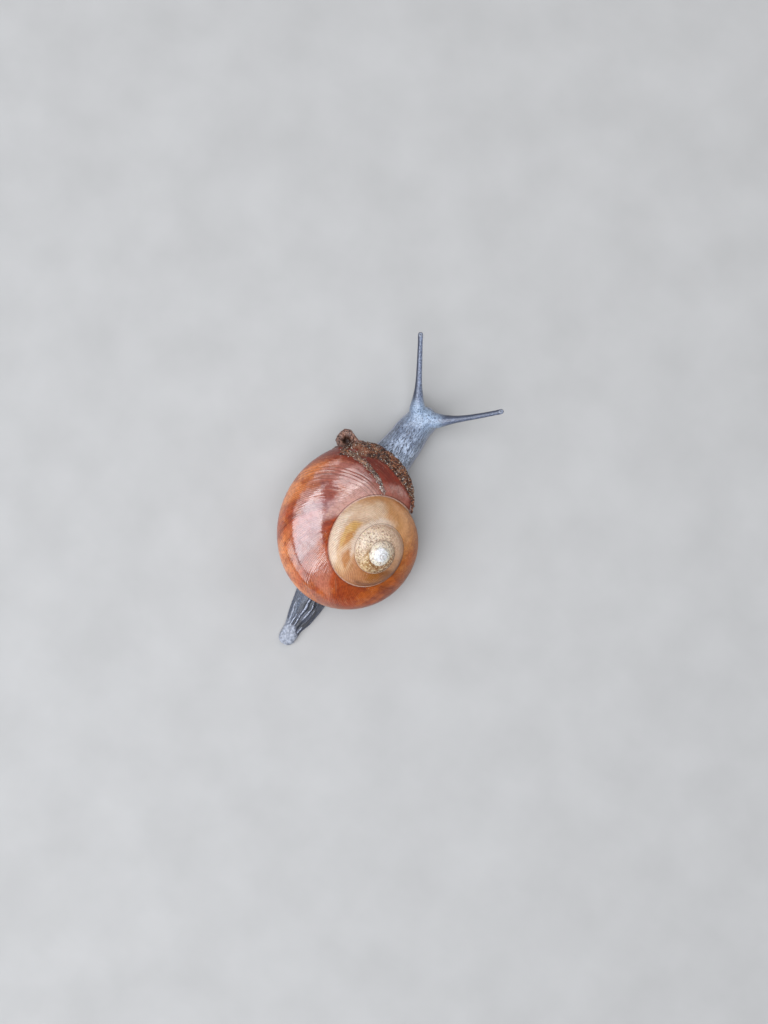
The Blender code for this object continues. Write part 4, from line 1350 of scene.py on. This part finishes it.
# Direction anticlockwise from the camera's right and above the floor, in degrees; width, height;
# watts; colour
SOFTBOXES = {
    "overhead_softbox": (209, 69, 1000 * MM, 900 * MM, 8.2, (0.96, 1.0, 1.06)),
    "right_softbox": (42, 46, 500 * MM, 300 * MM, 1.0, (1, 1, 1)),
    "front_softbox": (103, 17, 360 * MM, 180 * MM, 0.36, (1, 1, 1)),
    "rear_softbox": (-138, 19, 550 * MM, 280 * MM, 1.0, (1, 1, 1)),
    "low_softbox": (3, 18, 160 * MM, 90 * MM, 0.06, (1, 1, 1)),
}
SKY = (0.86, 0.92, 1.0, 1)
SKY_STRENGTH = 0.18


def floor():
    bm = bmesh.new()
    bmesh.ops.create_grid(bm, x_segments=1, y_segments=1, size=FLOOR_HALF)
    sheet = add_mesh("floor", bm, smooth=False)
    f = Finish("pale_floor")
    tone = f.cloud(f.place(), 60.0, 3.0)
    color = tone.ramp((0.3, (0.42, 0.41, 0.40)), (0.7, (0.46, 0.45, 0.44)))
    sheet.data.materials.append(f.set(Base_Color=color, Roughness=0.7))


def camera_sides():
    """The level directions towards the right and the upper edge of what the camera sees."""
    right = Vector((-math.cos(CAMERA_TURN), -math.sin(CAMERA_TURN), 0))
    up = Vector((math.sin(CAMERA_TURN), -math.cos(CAMERA_TURN), 0))
    return right, up


def place_on_stage(name, data, matrix):
    holder = bpy.data.objects.new(name, data)
    holder.matrix_world = matrix
    bpy.context.scene.collection.objects.link(holder)
    return holder


def softbox(name, angle, elevation, width, height, power, color):
    """A large flat lamp that faces the snail."""
    lamp = bpy.data.lights.new(name, "AREA")
    lamp.shape = "RECTANGLE"
    lamp.size = width
    lamp.size_y = height
    lamp.energy = power
    lamp.color = color
    right, up = camera_sides()
    level = right * math.cos(angle * DEG) + up * math.sin(angle * DEG)
    away = level * math.cos(elevation * DEG) + Vector((0, 0, math.sin(elevation * DEG)))
    facing = away.to_track_quat("Z", "Y").to_matrix().to_4x4()
    place_on_stage(name, lamp, Matrix.Translation(LAMP_AIM + away * LAMP_DISTANCE) @ facing)


def lights():
    for name, values in SOFTBOXES.items():
        softbox(name, *values)
    world = bpy.data.worlds.new("sky")
    world.use_nodes = True
    backdrop = world.node_tree.nodes["Background"]
    backdrop.inputs["Color"].default_value = SKY
    backdrop.inputs["Strength"].default_value = SKY_STRENGTH
    bpy.context.scene.world = world


def camera():
    """Straight above the neck and shell, its upper edge turned from the head's direction."""
    lens = bpy.data.cameras.new("camera")
    lens.sensor_fit = "VERTICAL"
    lens.sensor_height = SENSOR_HEIGHT
    lens.lens = FOCAL_LENGTH
    lens.clip_start = CLIP_NEAR
    lens.clip_end = CLIP_FAR
    right, up = camera_sides()
    facing = Matrix((right, up, right.cross(up))).transposed().to_4x4()
    holder = place_on_stage("camera", lens, Matrix.Translation(CAMERA_PLACE) @ facing)
    bpy.context.scene.camera = holder


# ---------------------------------------------------------------- everything together

def main():
    camera()
    dress(shell_coil(), shell_finish(), "shell", "shell")
    dress(lip_crust(), crust_finish(), "lip_crust", "shell_lip", "lip_lobe")
    dress(old_crust(), old_crust_finish(), "lip_crust")
    dress(grit(), grit_finish(), "lip_crust")
    flesh = [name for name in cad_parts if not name.startswith(("shell", "lip", "eye"))]
    dress(snail_skin(), skin_finish(), "skin", *flesh)
    black = eye_finish()
    for side, bend in UPPER_FEELERS.items():
        dress(eye(side, bend), black, "eye", f"eye_{side}")
    floor()
    lights()
    bpy.context.scene.view_settings.view_transform = "Standard"


main()
